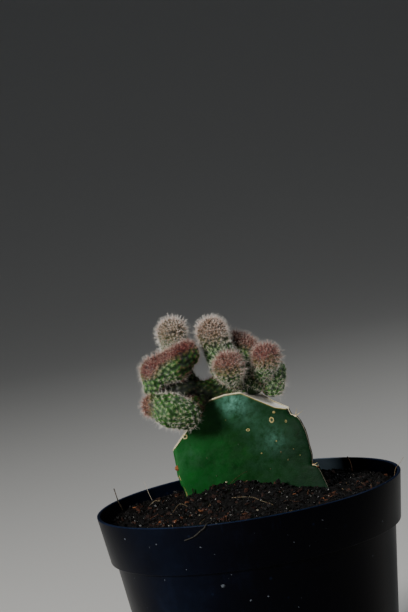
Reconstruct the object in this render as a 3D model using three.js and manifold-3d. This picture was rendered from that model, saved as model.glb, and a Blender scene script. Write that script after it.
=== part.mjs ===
// A small grafted cactus in a round nursery pot, in millimetres, +Z up.
// The origin is the middle of the pot's foot. The rootstock's broad face looks along -Y.
import * as THREE from 'three';
import { mergeVertices } from 'three/addons/utils/BufferGeometryUtils.js';
import Module from 'manifold-3d';

const wasm = await Module();
wasm.setup();

// Driving sizes of the pot
const POT_HEIGHT = 85;
const RIM_RADIUS = 50;
const COLLAR_HEIGHT = 15.4;
const COLLAR_FOOT_RADIUS = 48.3;
const BODY_TOP_RADIUS = 46.1;
const FOOT_RADIUS = 37.4;
const WALL = 1.1;
const FOOT_RING = 1.9;
const FLOOR_RISE = 2.0;
const FLOOR_THICKNESS = 1.6;
const DRAIN_RADIUS = 3.6;
const DRAIN_CIRCLE = 26;
const DRAIN_COUNT = 6;
const POT_SEGMENTS = 52;

// Clearance between solids that touch, and between the faceted skins of two heads
const GAP = 0.35;
const HEAD_GAP = 0.6;

// Driving sizes of the soil
const SOIL_WALL_LEVEL = 80.8;
const SOIL_MOUND = 6.9;
const MOUND_CENTRE = [-6, 1];
const MOUND_SPREAD = 16;
const SOIL_SEGMENTS = 48;
const SOIL_RINGS = 11;

// Driving sizes of the rootstock: three ribs round an upright axis
const STEM_AXIS = [0, 13];
const STEM_FOOT = 52;
const STEM_LENGTH = 68;
const RIB_ANGLES = [209.4, 331.9, 89].map(THREE.MathUtils.degToRad);
const RIB_REFERENCE = 25;
const RIB_TIP_HALF = 0.5;
const RIB_SHOULDER_HALF = 1.15;
const RIB_SHOULDER_BACK = 0.7;
const FLANK_ALONG = 14.5;
const FLANK_HALF = 4.3;
const VALLEY_RADIUS = 9.2;
const VALLEY_ALONG = VALLEY_RADIUS * Math.cos(Math.PI / 3);
const VALLEY_EASE = [1.55 * VALLEY_ALONG, 0.795 * VALLEY_RADIUS];

// Rib lengths from the axis at each height: a scalloped margin, as [height, left, right, back]
const MARGINS = [
  [52, 23.2, 29.0, 24.6],
  [82, 23.2, 29.0, 24.6],
  [86.8, 23.2, 27.5, 24.8],
  [89, 23.9, 26.6, 25.4],
  [90, 24.4, 24.8, 25.6],
  [93.3, 25.2, 25.1, 25.2],
  [97.1, 25.1, 24.7, 24.2],
  [101.3, 25.3, 24.1, 24.4],
  [104.7, 25.3, 22.8, 24.9],
  [106.3, 25.3, 21.7, 24.6],
  [107, 25.3, 19.9, 24.2],
  [110, 25.3, 19.0, 23.6],
  [120, 25.3, 18.0, 22.6],
];

// Rib lengths of the plain hole in the soil, left, right and back, at the widest below the mound
const HOLE_LENGTHS = [23.9, 29.0, 25.5];

// The knife cuts over the top of the rootstock: from the front as [x, z], at the back as [y, z]
const TOP_CUT = [[-40, 80.5], [-22, 101.5], [-17.8, 105.8], [-8.4, 115.8], [-2.7, 116.8], [2.6, 116.7]];
const BEVEL_CUT = [[2.6, 116.7], [6, 114], [9.4, 111.7], [12.9, 110], [16.9, 109.1], [40, 104]];
const BACK_CUT = [[22, 117], [60, 83]];
const BEVEL_LEAN = 0.11;
const BEVEL_PIVOT = 3.7;
const RIDGE_LIFT = 0.45;
const RIDGE_WIDTH = 1.8;

// Spines
const NEEDLE_LENGTH = 1.9;
const NEEDLE_RADIUS = 0.24;
const NEEDLE_LEAN = 0.6;
const NEEDLE_SPACING = 1.05;
const NEEDLE_CLEAR = 0.5;
const NEEDLES_APART = 0.6;
const STEM_SPINE_RADIUS = 0.32;
const STEM_SPINE_TIP = 0.06;
const STEM_SPINE_SUNK = 0.7;

// Spines on the rootstock's margins, as [rib, height, direction, length]
const STEM_SPINES = [
  [1, 106.2, [0.35, -0.25, 1], 2.4],
  [1, 106.1, [1, -0.2, 0.55], 2.8],
  [1, 89.2, [0.9, -0.3, 0.5], 1.6],
  [0, 92.6, [-1, -0.4, 0.3], 1.2],
  [2, 98, [0.3, 1, 0.6], 2.6],
  [2, 98, [-0.4, 1, 0.1], 2.2],
  [2, 89.6, [0.2, 1, 0.5], 2.2],
];

// Stems of the scion, each a chain of balls [x, y, z, radius] from its root to its growing tip
const HEADS = {
  scion_base: [
    [-22.5, 1.5, 120.8, 2.6], [-15.5, 3.2, 120.2, 3.0], [-9, 6.5, 118.6, 2.8],
    [-4, 9, 118.7, 3.4], [1.8, 11, 118.8, 4.8], [7.5, 10.8, 118.5, 4.2],
  ],
  head_centre_back: [
    [-2.3, 8.8, 124.8, 3.5], [-1.9, 9, 129.5, 4.0], [-3.4, 8, 137.2, 4.8],
  ],
  head_low_left: [
    [-9.4, 1.8, 116.7, 1.6], [-12.7, -1.0, 115.3, 2.3], [-16.3, -5, 113.6, 4.2],
    [-20.4, -6, 115.6, 4.8], [-25.5, -5, 118, 3.6],
  ],
  head_crest_left: [
    [-25.4, -1.7, 122.8, 2.6], [-23.5, 1, 127.9, 4.3], [-17.9, 2, 129.0, 4.7], [-12.9, 4, 131.8, 4.2],
  ],
  head_top_left: [
    [-10.5, 11, 118.8, 2.2], [-13.8, 12.3, 121.4, 2.8], [-16, 12.3, 126.6, 3.0],
    [-16.6, 11, 132.6, 3.6], [-16.4, 9, 139.2, 4.6],
  ],
  head_centre_front: [
    [0.9, 5.4, 121.8, 3.2], [0.2, 0, 125.7, 4.8],
  ],
  head_crest_right: [
    [6.2, 14.9, 124.6, 2.9], [5.9, 14.4, 129.9, 3.0], [3.8, 15, 132.3, 2.7], [8.4, 13.2, 129.9, 2.6],
  ],
  head_right_front: [
    [10.8, 7.4, 121.6, 3.2], [12.7, 3, 126.5, 4.4],
  ],
  head_right: [
    [13.4, 11.2, 116.5, 4.0], [14.6, 10.2, 121.2, 4.0],
  ],
};
// How many of a head's balls, from its root, its skin is grown round: all, except in a short broad crest
const STALKS = { head_crest_right: 2 };
const BLEND = 2.4;
const SKIN_DETAIL = 3;
const RELAX_ROUNDS = 6;
const PROBE = 0.01;

// Colours
const material = (color, roughness) => new THREE.MeshStandardMaterial({ color, roughness, metalness: 0 });
const POT_MATERIAL = material(0x17191d, 0.42);
const SOIL_MATERIAL = material(0x2b1d15, 0.95);
const STEM_MATERIAL = material(0x1f5c36, 0.45);
const HEAD_MATERIAL = material(0x5c8748, 0.7);

// Seeded random numbers between 0 and 1
function randomSource(seed) {
  let state = seed;
  return () => {
    state = (state + 0x6d2b79f5) | 0;
    let mixed = Math.imul(state ^ (state >>> 15), 1 | state);
    mixed = (mixed + Math.imul(mixed ^ (mixed >>> 7), 61 | mixed)) ^ mixed;
    return ((mixed ^ (mixed >>> 14)) >>> 0) / 4294967296;
  };
}

// Positions only, with shared vertices merged
function bare(geometry) {
  geometry.deleteAttribute('normal');
  geometry.deleteAttribute('uv');
  return mergeVertices(geometry, 1e-4);
}

function toSolid(geometry) {
  const merged = bare(geometry);
  return new wasm.Manifold(new wasm.Mesh({
    numProp: 3,
    vertProperties: new Float32Array(merged.attributes.position.array),
    triVerts: new Uint32Array(merged.index.array),
  }));
}

function toGeometry(solid) {
  const mesh = solid.getMesh();
  const geometry = new THREE.BufferGeometry();
  geometry.setAttribute('position', new THREE.BufferAttribute(new Float32Array(mesh.vertProperties), 3));
  geometry.setIndex(new THREE.BufferAttribute(new Uint32Array(mesh.triVerts), 1));
  geometry.computeVertexNormals();
  return geometry;
}

// Piecewise straight value of a table [[at, value...], ...] at x, reading one column
function readTable(table, x, column = 1) {
  const last = table.length - 1;
  if (x <= table[0][0]) return table[0][column];
  for (let i = 0; i < last; i += 1) {
    const [low, high] = [table[i], table[i + 1]];
    if (x <= high[0]) {
      return THREE.MathUtils.mapLinear(x, low[0], high[0], low[column], high[column]);
    }
  }
  return table[last][column];
}

// Pot

const wallRadius = (z) => THREE.MathUtils.mapLinear(
  z, 0, POT_HEIGHT - COLLAR_HEIGHT, FOOT_RADIUS, BODY_TOP_RADIUS);

const collarRadius = (z) => THREE.MathUtils.mapLinear(
  z, POT_HEIGHT - COLLAR_HEIGHT, POT_HEIGHT, COLLAR_FOOT_RADIUS, RIM_RADIUS);

function makePot() {
  const step = POT_HEIGHT - COLLAR_HEIGHT;
  const ledge = step + WALL;
  const floorTop = FLOOR_RISE + FLOOR_THICKNESS;
  const profile = [
    [0, FLOOR_RISE],
    [FOOT_RADIUS - FOOT_RING, FLOOR_RISE],
    [FOOT_RADIUS - FOOT_RING + 0.3, 0],
    [FOOT_RADIUS - 0.5, 0],
    [wallRadius(0.6), 0.6],
    [BODY_TOP_RADIUS, step],
    [COLLAR_FOOT_RADIUS - 0.3, step],
    [collarRadius(step + 0.5), step + 0.5],
    [RIM_RADIUS, POT_HEIGHT - 0.5],
    [RIM_RADIUS - 0.35, POT_HEIGHT],
    [RIM_RADIUS - WALL + 0.2, POT_HEIGHT],
    [RIM_RADIUS - WALL - 0.05, POT_HEIGHT - 0.5],
    [collarRadius(ledge) - WALL, ledge + 0.2],
    [BODY_TOP_RADIUS - WALL, ledge],
    [wallRadius(floorTop) - WALL, floorTop],
    [0, floorTop],
  ];
  const lathe = new THREE.LatheGeometry(profile.map(([r, z]) => new THREE.Vector2(r, z)), POT_SEGMENTS);
  lathe.rotateX(Math.PI / 2);
  let pot = toSolid(lathe);
  const drains = [[0, 0]];
  for (let i = 0; i < DRAIN_COUNT; i += 1) {
    const turn = (i * 2 * Math.PI) / DRAIN_COUNT;
    drains.push([DRAIN_CIRCLE * Math.cos(turn), DRAIN_CIRCLE * Math.sin(turn)]);
  }
  for (const [x, y] of drains) {
    const drain = new THREE.CylinderGeometry(DRAIN_RADIUS, DRAIN_RADIUS, 4 * FLOOR_THICKNESS, 12);
    drain.rotateX(Math.PI / 2);
    drain.translate(x, y, FLOOR_RISE + FLOOR_THICKNESS / 2);
    pot = pot.subtract(toSolid(drain));
  }
  return toGeometry(pot);
}

// Rootstock

// Outline of the section with three equal ribs, grown outwards by a clearance
function stemOutline(grow) {
  const points = [];
  RIB_ANGLES.forEach((angle) => {
    const along = new THREE.Vector2(Math.cos(angle), Math.sin(angle));
    const across = new THREE.Vector2(-along.y, along.x);
    const at = (a, b) => points.push(new THREE.Vector2(
      STEM_AXIS[0] + a * along.x + b * across.x,
      STEM_AXIS[1] + a * along.y + b * across.y));
    const half = [
      [RIB_REFERENCE + grow, RIB_TIP_HALF + grow],
      [RIB_REFERENCE - RIB_SHOULDER_BACK + grow, RIB_SHOULDER_HALF + grow],
      [FLANK_ALONG, FLANK_HALF + grow],
      [VALLEY_EASE[0], VALLEY_EASE[1] + grow],
    ];
    [...half].reverse().forEach(([a, b]) => at(a, -b));
    half.forEach(([a, b]) => at(a, b));
  });
  return points;
}

// Lengthen or shorten the rib that a point of the section belongs to, most at its margin
function stretchRib(x, y, lengths) {
  let best = null;
  RIB_ANGLES.forEach((angle, rib) => {
    const a = (x - STEM_AXIS[0]) * Math.cos(angle) + (y - STEM_AXIS[1]) * Math.sin(angle);
    if (!best || a > best.a) best = { a, angle, rib };
  });
  const share = (Math.max(best.a - VALLEY_ALONG, 0) / (RIB_REFERENCE - VALLEY_ALONG)) ** 3;
  const shift = share * (lengths[best.rib] - RIB_REFERENCE);
  return [x + shift * Math.cos(best.angle), y + shift * Math.sin(best.angle)];
}

// A prism over a cutting line, reaching up past the stem, right through it and out to one side
function cutterAbove(line, { side = 0, lean = 0, turn = 0 }) {
  const top = STEM_FOOT + STEM_LENGTH + 20;
  const depth = 120;
  const [endX, endZ] = line[line.length - 1];
  const corners = [...line, [endX + side, endZ], [endX + side, top], [line[0][0], top]];
  const shape = new THREE.Shape(corners.map(([x, z]) => new THREE.Vector2(x, z)));
  const prism = new THREE.ExtrudeGeometry(shape, { depth, bevelEnabled: false });
  prism.rotateX(Math.PI / 2);
  prism.translate(0, depth / 2, 0);
  const position = prism.attributes.position;
  for (let i = 0; i < position.count; i += 1) {
    position.setZ(i, position.getZ(i) + lean * (position.getY(i) - BEVEL_PIVOT));
  }
  prism.rotateZ(turn);
  return toSolid(prism);
}

// A slim spine, sunk well into what it grows from
function makeSpine(from, direction, length) {
  const whole = length + STEM_SPINE_SUNK;
  const spine = new THREE.CylinderGeometry(STEM_SPINE_TIP, STEM_SPINE_RADIUS, whole, 5);
  spine.translate(0, whole / 2 - STEM_SPINE_SUNK, 0);
  const unit = new THREE.Vector3(...direction).normalize();
  spine.applyQuaternion(new THREE.Quaternion().setFromUnitVectors(new THREE.Vector3(0, 1, 0), unit));
  spine.translate(...from);
  return toSolid(spine);
}

// Where a rib's margin lies at a height
function marginPoint(rib, z) {
  const length = readTable(MARGINS, z, rib + 1);
  const angle = RIB_ANGLES[rib];
  return [STEM_AXIS[0] + length * Math.cos(angle), STEM_AXIS[1] + length * Math.sin(angle), z];
}

function makeRootstock() {
  const steps = MARGINS.length - 1;
  const shape = new THREE.Shape(stemOutline(0));
  const stem = new THREE.ExtrudeGeometry(shape, { depth: steps, steps, bevelEnabled: false });
  const position = stem.attributes.position;
  for (let i = 0; i < position.count; i += 1) {
    const [z, ...lengths] = MARGINS[Math.round(position.getZ(i))];
    const [x, y] = stretchRib(position.getX(i), position.getY(i), lengths);
    position.setXYZ(i, x, y, z);
  }
  let solid = toSolid(stem);
  solid = solid.subtract(cutterAbove(TOP_CUT, { side: 60 }));
  solid = solid.subtract(cutterAbove(BEVEL_CUT, { lean: BEVEL_LEAN }));
  solid = solid.subtract(cutterAbove(BACK_CUT, { turn: Math.PI / 2 }));
  for (const [rib, z, direction, length] of STEM_SPINES) {
    solid = solid.add(makeSpine(marginPoint(rib, z), direction, length));
  }
  return toGeometry(solid);
}

// Soil

// Uneven ground: a few crossed waves, so neighbouring points rise and fall
function groundWaves(x, y) {
  const coarse = Math.sin(0.62 * x + 1.3) * Math.cos(0.55 * y - 0.4);
  const fine = Math.sin(1.31 * x - 0.9 * y + 0.7) + Math.cos(1.17 * y + 0.83 * x);
  return 0.42 * coarse + 0.26 * fine;
}

function soilHeight(x, y) {
  const away = (x - MOUND_CENTRE[0]) ** 2 + (y - MOUND_CENTRE[1]) ** 2;
  return SOIL_WALL_LEVEL + SOIL_MOUND * Math.exp(-away / (2 * MOUND_SPREAD ** 2)) + groundWaves(x, y);
}

// A lump of perlite or bark half sunk in the surface
function makeLump(x, y, size, squash) {
  const lump = new THREE.IcosahedronGeometry(size, 0);
  lump.scale(1, squash, 0.8 * squash);
  lump.rotateZ(x * 3.1 + y);
  lump.translate(x, y, soilHeight(x, y) + 0.15 * size);
  return toSolid(lump);
}

// A short dry twig or root standing out of the soil
function makeTwig(from, to, radius) {
  const start = new THREE.Vector3(...from);
  const reach = new THREE.Vector3(...to).sub(start);
  const twig = new THREE.CylinderGeometry(radius * 0.7, radius, reach.length(), 6);
  twig.translate(0, reach.length() / 2, 0);
  twig.applyQuaternion(new THREE.Quaternion().setFromUnitVectors(
    new THREE.Vector3(0, 1, 0), reach.clone().normalize()));
  twig.translate(start.x, start.y, start.z);
  return toSolid(twig);
}

function makeSoil() {
  const ledge = POT_HEIGHT - COLLAR_HEIGHT + WALL + 0.2 + GAP;
  const floor = FLOOR_RISE + FLOOR_THICKNESS + GAP;
  const clear = WALL + GAP;
  const edge = collarRadius(SOIL_WALL_LEVEL) - clear - 0.3;
  const profile = [
    [0, floor],
    [wallRadius(floor) - clear, floor],
    [BODY_TOP_RADIUS - clear, ledge],
    [collarRadius(ledge) - clear, ledge + 0.2],
    [edge, SOIL_WALL_LEVEL],
  ];
  for (let ring = SOIL_RINGS - 1; ring >= 0; ring -= 1) {
    profile.push([(edge * ring) / SOIL_RINGS, SOIL_WALL_LEVEL]);
  }
  const lathe = new THREE.LatheGeometry(profile.map(([r, z]) => new THREE.Vector2(r, z)), SOIL_SEGMENTS);
  lathe.rotateX(Math.PI / 2);
  const position = lathe.attributes.position;
  for (let i = 0; i < position.count; i += 1) {
    const [x, y, z] = [position.getX(i), position.getY(i), position.getZ(i)];
    if (z > SOIL_WALL_LEVEL - 0.01) position.setZ(i, soilHeight(x, y));
  }
  let soil = toSolid(lathe);
  const lumps = [
    [-30, -22, 1.9, 0.8], [-18, -33, 1.6, 0.9], [-3, -24, 2.1, 0.7], [14, -34, 1.7, 0.8],
    [24, -22, 2.2, 0.7], [36, -12, 1.6, 0.9], [38, 10, 2.0, 0.8], [30, 28, 2.3, 0.7],
    [12, 41, 1.7, 0.9], [-12, 42, 2.1, 0.8], [-30, 30, 1.8, 0.8], [-41, 6, 2.0, 0.7],
    [-36, -10, 1.5, 0.9], [4, -41, 1.8, 0.8], [-22, 12, 2.0, 0.7], [19, 14, 1.8, 0.8],
  ];
  for (const lump of lumps) soil = soil.add(makeLump(...lump));
  soil = soil.add(makeTwig([36.4, 30.5, 78.5], [36.2, 30.5, 86.1], 0.7));
  soil = soil.add(makeTwig([-33.0, 34, 79], [-35.1, 34, 88.2], 0.5));
  const outline = stemOutline(GAP).map((point) => new THREE.Vector2(
    ...stretchRib(point.x, point.y, HOLE_LENGTHS)));
  const hole = new THREE.ExtrudeGeometry(
    new THREE.Shape(outline), { depth: POT_HEIGHT, bevelEnabled: false });
  hole.translate(0, 0, STEM_FOOT - GAP);
  return toGeometry(soil.subtract(toSolid(hole)));
}

// Scion

const smoothMin = (a, b, width) => {
  const near = Math.max(width - Math.abs(a - b), 0) / width;
  return Math.min(a, b) - (near * near * width) / 4;
};

// Distance from a point to a chain of balls joined by cones, below zero inside
function chainDistance(point, balls) {
  let distance = Infinity;
  for (let i = 0; i + 1 < balls.length; i += 1) {
    const [low, high] = [balls[i], balls[i + 1]];
    const axis = new THREE.Vector3(high[0] - low[0], high[1] - low[1], high[2] - low[2]);
    const offset = new THREE.Vector3(point.x - low[0], point.y - low[1], point.z - low[2]);
    const share = THREE.MathUtils.clamp(offset.dot(axis) / axis.lengthSq(), 0, 1);
    const radius = THREE.MathUtils.lerp(low[3], high[3], share);
    const piece = offset.addScaledVector(axis, -share).length() - radius;
    distance = i ? smoothMin(distance, piece, BLEND) : piece;
  }
  return distance;
}

// Height of the cut top of the rootstock, rounded up a little over the ridge between two cuts
function cutHeight(x, y) {
  const ridge = RIDGE_LIFT * Math.exp(-(((x - BEVEL_CUT[0][0]) / RIDGE_WIDTH) ** 2));
  if (x <= BEVEL_CUT[0][0]) return readTable(TOP_CUT, x) + ridge;
  return readTable(BEVEL_CUT, x) + ridge + BEVEL_LEAN * (y - BEVEL_PIVOT);
}

// Clearance of a point from the rootstock, measured over its cut top and before its front face
function stemClearance(point) {
  const [left, right] = [marginPoint(0, 100), marginPoint(1, 100)];
  const middle = STEM_AXIS[1] - VALLEY_RADIUS;
  const front = point.x < STEM_AXIS[0]
    ? THREE.MathUtils.mapLinear(point.x, left[0], STEM_AXIS[0], left[1] - 0.6, middle)
    : THREE.MathUtils.mapLinear(point.x, right[0], STEM_AXIS[0], right[1] - 0.6, middle);
  return Math.max(front - point.y, 0.8 * (point.z - cutHeight(point.x, point.y)));
}

// Even out a skin's triangles: each vertex moves to its neighbours' middle, then back to the surface
function relax(skin, solidness) {
  const position = skin.attributes.position;
  const corners = Array.from({ length: position.count }, (_, i) => (
    new THREE.Vector3().fromBufferAttribute(position, i)));
  const neighbours = corners.map(() => new Set());
  for (let i = 0; i < skin.index.count; i += 3) {
    const [a, b, c] = [0, 1, 2].map((k) => skin.index.getX(i + k));
    neighbours[a].add(b).add(c);
    neighbours[b].add(c).add(a);
    neighbours[c].add(a).add(b);
  }
  const axes = [[PROBE, 0, 0], [0, PROBE, 0], [0, 0, PROBE]].map((axis) => new THREE.Vector3(...axis));
  for (let round = 0; round < RELAX_ROUNDS; round += 1) {
    const middles = neighbours.map((near) => {
      const sum = new THREE.Vector3();
      near.forEach((j) => sum.add(corners[j]));
      return sum.divideScalar(near.size);
    });
    middles.forEach((point, i) => {
      for (let step = 0; step < 4; step += 1) {
        const here = solidness(point);
        const slope = new THREE.Vector3(...axes.map((axis) => (
          (solidness(point.clone().add(axis)) - here) / PROBE)));
        point.addScaledVector(slope, -here / Math.max(slope.lengthSq(), 0.25));
      }
      corners[i].copy(point);
    });
  }
  corners.forEach((point, i) => position.setXYZ(i, point.x, point.y, point.z));
}

// The skin of one head: a ball's vertices pushed out from the head's own line to its surface
function headSkin(name, earlier) {
  const balls = HEADS[name];
  const solidness = (point) => {
    let worst = Math.max(chainDistance(point, balls), GAP - stemClearance(point));
    for (const other of earlier) {
      worst = Math.max(worst, HEAD_GAP - chainDistance(point, HEADS[other]));
    }
    return worst;
  };
  const stalk = balls.slice(0, STALKS[name]);
  const line = new THREE.CatmullRomCurve3(stalk.map(([x, y, z]) => new THREE.Vector3(x, y, z)));
  const skin = bare(new THREE.IcosahedronGeometry(1, SKIN_DETAIL));
  const position = skin.attributes.position;
  const up = new THREE.Vector3(0, 0, 1);
  for (let i = 0; i < position.count; i += 1) {
    const direction = new THREE.Vector3().fromBufferAttribute(position, i);
    const share = THREE.MathUtils.clamp(0.5 + 0.55 * direction.z, 0, 1);
    const point = line.getPoint(share);
    direction.applyQuaternion(new THREE.Quaternion().setFromUnitVectors(up, line.getTangent(share)));
    for (let step = 0; step < 80; step += 1) {
      point.addScaledVector(direction, Math.max(-solidness(point), 0) * 0.8);
    }
    position.setXYZ(i, point.x, point.y, point.z);
  }
  relax(skin, solidness);
  return skin;
}

// Nearest distance between two segments, sampled along both
function segmentGap(first, second) {
  let nearest = Infinity;
  const [p, q] = [new THREE.Vector3(), new THREE.Vector3()];
  for (let i = 0; i <= 4; i += 1) {
    p.lerpVectors(first.root, first.tip, i / 4);
    for (let j = 0; j <= 4; j += 1) {
      q.lerpVectors(second.root, second.tip, j / 4);
      nearest = Math.min(nearest, p.distanceTo(q));
    }
  }
  return nearest;
}

// Three-sided needles raised out of faces of the skin, evenly spread, clear of everything else
function growNeedles(skin, name, grown, random) {
  const balls = HEADS[name];
  const others = Object.keys(HEADS).filter((other) => other !== name);
  const position = skin.attributes.position;
  const index = skin.index;
  const corner = (face, k) => new THREE.Vector3().fromBufferAttribute(position, index.getX(3 * face + k));
  const faces = [...Array(index.count / 3).keys()];
  const order = faces.map((face) => [random(), face]).sort((a, b) => a[0] - b[0]);
  const chosen = new Map();
  for (const [, face] of order) {
    const [a, b, c] = [corner(face, 0), corner(face, 1), corner(face, 2)];
    const root = a.clone().add(b).add(c).divideScalar(3);
    const normal = b.clone().sub(a).cross(c.clone().sub(a));
    const inner = normal.length() / (a.distanceTo(b) + b.distanceTo(c) + c.distanceTo(a));
    normal.normalize();
    const lean = new THREE.Vector3(random() - 0.5, random() - 0.5, random() - 0.2);
    lean.multiplyScalar(2 * NEEDLE_LEAN);
    const direction = normal.clone().add(lean).normalize();
    const length = NEEDLE_LENGTH * (0.85 + 0.35 * random());
    const tip = root.clone().addScaledVector(direction, length);
    const middle = root.clone().lerp(tip, 0.5);
    const needle = { root, tip };
    const cramped = inner < 0.75 * NEEDLE_RADIUS || direction.dot(normal) < 0.5;
    const sunken = chainDistance(tip, balls) < 0.55 * length;
    const blocked = [middle, tip].some((point) => stemClearance(point) < NEEDLE_CLEAR
      || others.some((other) => chainDistance(point, HEADS[other]) < NEEDLE_CLEAR));
    const near = [...chosen.values()].some((other) => other.root.distanceTo(root) < NEEDLE_SPACING);
    if (cramped || sunken || blocked || near) continue;
    if (grown.some((other) => segmentGap(other, needle) < NEEDLES_APART)) continue;
    chosen.set(face, needle);
    grown.push(needle);
  }
  const points = Array.from(position.array);
  const triangles = [];
  const add = (point) => points.push(point.x, point.y, point.z) / 3 - 1;
  for (const face of faces) {
    const outer = [0, 1, 2].map((k) => index.getX(3 * face + k));
    const needle = chosen.get(face);
    if (!needle) {
      triangles.push(...outer);
      continue;
    }
    const ring = [0, 1, 2].map((k) => {
      const out = corner(face, k).sub(needle.root).setLength(NEEDLE_RADIUS);
      return add(out.add(needle.root));
    });
    const tip = add(needle.tip);
    for (let k = 0; k < 3; k += 1) {
      const next = (k + 1) % 3;
      triangles.push(outer[k], outer[next], ring[next]);
      triangles.push(outer[k], ring[next], ring[k]);
      triangles.push(ring[k], ring[next], tip);
    }
  }
  const spiny = new THREE.BufferGeometry();
  spiny.setAttribute('position', new THREE.Float32BufferAttribute(points, 3));
  spiny.setIndex(triangles);
  spiny.computeVertexNormals();
  return spiny;
}

// Assembly

const group = new THREE.Group();

function place(name, geometry, meshMaterial) {
  const mesh = new THREE.Mesh(geometry, meshMaterial);
  mesh.name = name;
  group.add(mesh);
}

place('pot', makePot(), POT_MATERIAL);
place('soil', makeSoil(), SOIL_MATERIAL);
place('rootstock', makeRootstock(), STEM_MATERIAL);

const random = randomSource(7);
const grown = [];
const built = [];
for (const name of Object.keys(HEADS)) {
  const skin = headSkin(name, built);
  place(name, growNeedles(skin, name, grown, random), HEAD_MATERIAL);
  built.push(name);
}

export default group;
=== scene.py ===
"""A small grafted cactus in a black nursery pot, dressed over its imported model.

Meshes are worked in millimetres and closed in metres.
"""

import math
from functools import partial

import bmesh
import bpy
import numpy as np
from bpy.props import FloatProperty, FloatVectorProperty, IntProperty, PointerProperty
from mathutils import Matrix, Quaternion, Vector, noise
from mathutils.bvhtree import BVHTree


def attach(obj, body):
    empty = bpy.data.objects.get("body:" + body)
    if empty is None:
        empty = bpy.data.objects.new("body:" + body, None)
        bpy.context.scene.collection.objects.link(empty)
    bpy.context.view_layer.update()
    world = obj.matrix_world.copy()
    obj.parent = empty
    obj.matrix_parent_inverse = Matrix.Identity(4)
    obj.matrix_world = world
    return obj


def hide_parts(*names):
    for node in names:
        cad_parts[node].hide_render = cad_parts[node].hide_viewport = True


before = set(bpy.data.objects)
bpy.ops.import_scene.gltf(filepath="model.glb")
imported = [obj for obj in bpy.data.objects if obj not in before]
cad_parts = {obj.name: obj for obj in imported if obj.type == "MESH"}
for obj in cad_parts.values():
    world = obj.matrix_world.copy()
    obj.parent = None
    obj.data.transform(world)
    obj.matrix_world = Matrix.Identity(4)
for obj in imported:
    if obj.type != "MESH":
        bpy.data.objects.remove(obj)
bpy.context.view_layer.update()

bl_info = {
    "name": "Potted grafted cactus",
    "version": (1, 0, 0),
    "blender": (4, 5, 0),
    "location": "View3D > Sidebar > Cactus",
    "description": "Builds a spiny grafted cactus with its winged stem, potting mix and nursery pot",
    "category": "Object",
}

MM = 0.001
UP = Vector((0, 0, 1))
FULL_TURN = 2 * math.pi

# Pot
POT_HEIGHT = 85
RIM_RADIUS = 50
COLLAR_HEIGHT = 15.4
COLLAR_FOOT_RADIUS = 47.8
BODY_TOP_RADIUS = 46.1
FOOT_RADIUS = 37.4
FOOT_RING = 1.9
FLOOR_RISE = 2.0
FLOOR_THICKNESS = 1.6
DRAIN_RADIUS = 3.6
DRAIN_CIRCLE = 26
DRAIN_COUNT = 6
POT_STEPS = 168

# Soil
SOIL_LEVEL = 80.8
GROUND_RINGS = 104
GROUND_STEPS = 220
MIX_INSET = 1.45
MIX_EDGE_INSET = 1.75
MIX_OVER_FLOOR = 0.35
MIX_OVER_LEDGE = 1.65
SOIL_MOUND = 6.9
MOUND_CENTRE = (-6, 1)
MOUND_SPREAD = 16

# Rootstock: three ribs round an upright axis
STEM_AXIS = (0, 13)
STEM_FOOT = 52
STEM_BURIED = 66.0
STEM_SHOWING = 80.0
STEM_RINGS = 66
BACK_HORN = 0.8
RIB_ANGLES = tuple(math.radians(angle) for angle in (209.4, 331.9, 89))
BACK_RIB = 2
RIB_REFERENCE = 25

# The flesh follows the mean margin within this reach, and the notches only show near the margin itself
FLESH_REACH = 4
FLESH_POWER = 3
MARGIN_POWER = 16

# Section of half a rib as (along, across), and how far out the valleys between the ribs lie
VALLEY_RADIUS = 9.2
VALLEY_ALONG = VALLEY_RADIUS / 2
HALF_RIB = ((7.13, 7.31), (14.5, 4.3), (24.3, 1.15), (25.0, 0.5))

# Lengths of the ribs at each height, as (height, left, right, back)
MARGINS = np.array((
    (52, 22.9, 29.0, 24.6), (82, 22.9, 29.0, 24.6), (86.8, 22.9, 27.5, 24.8), (89, 23.5, 26.6, 25.4),
    (90, 24.0, 24.8, 25.6), (93.3, 24.6, 25.1, 25.2), (97.1, 24.6, 24.7, 24.2), (101.3, 24.7, 24.1, 24.4),
    (104.7, 24.9, 22.8, 24.9), (106.3, 25.0, 21.7, 24.6), (107, 25.1, 19.9, 24.2), (110, 25.3, 19.0, 23.6),
    (120, 25.3, 18.0, 22.6)))

# Heights of the knife cuts: the top and the bevel along x, the back along y
TOP_CUT = np.array(((-40, 80.8), (-22, 101.9), (-17.8, 106.1), (-8.4, 115.8), (-2.7, 116.8), (2.6, 116.7)))
BEVEL_CUT = np.array(((2.6, 116.7), (6, 114.6), (9.4, 112.5), (12.9, 110.4), (16.9, 109.1), (40, 104)))
BACK_CUT = np.array(((22, 117), (60, 83)))
HIGHEST_CUT = 120.0
BEVEL_LEAN = 0.11
BEVEL_PIVOT = 3.7

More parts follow.
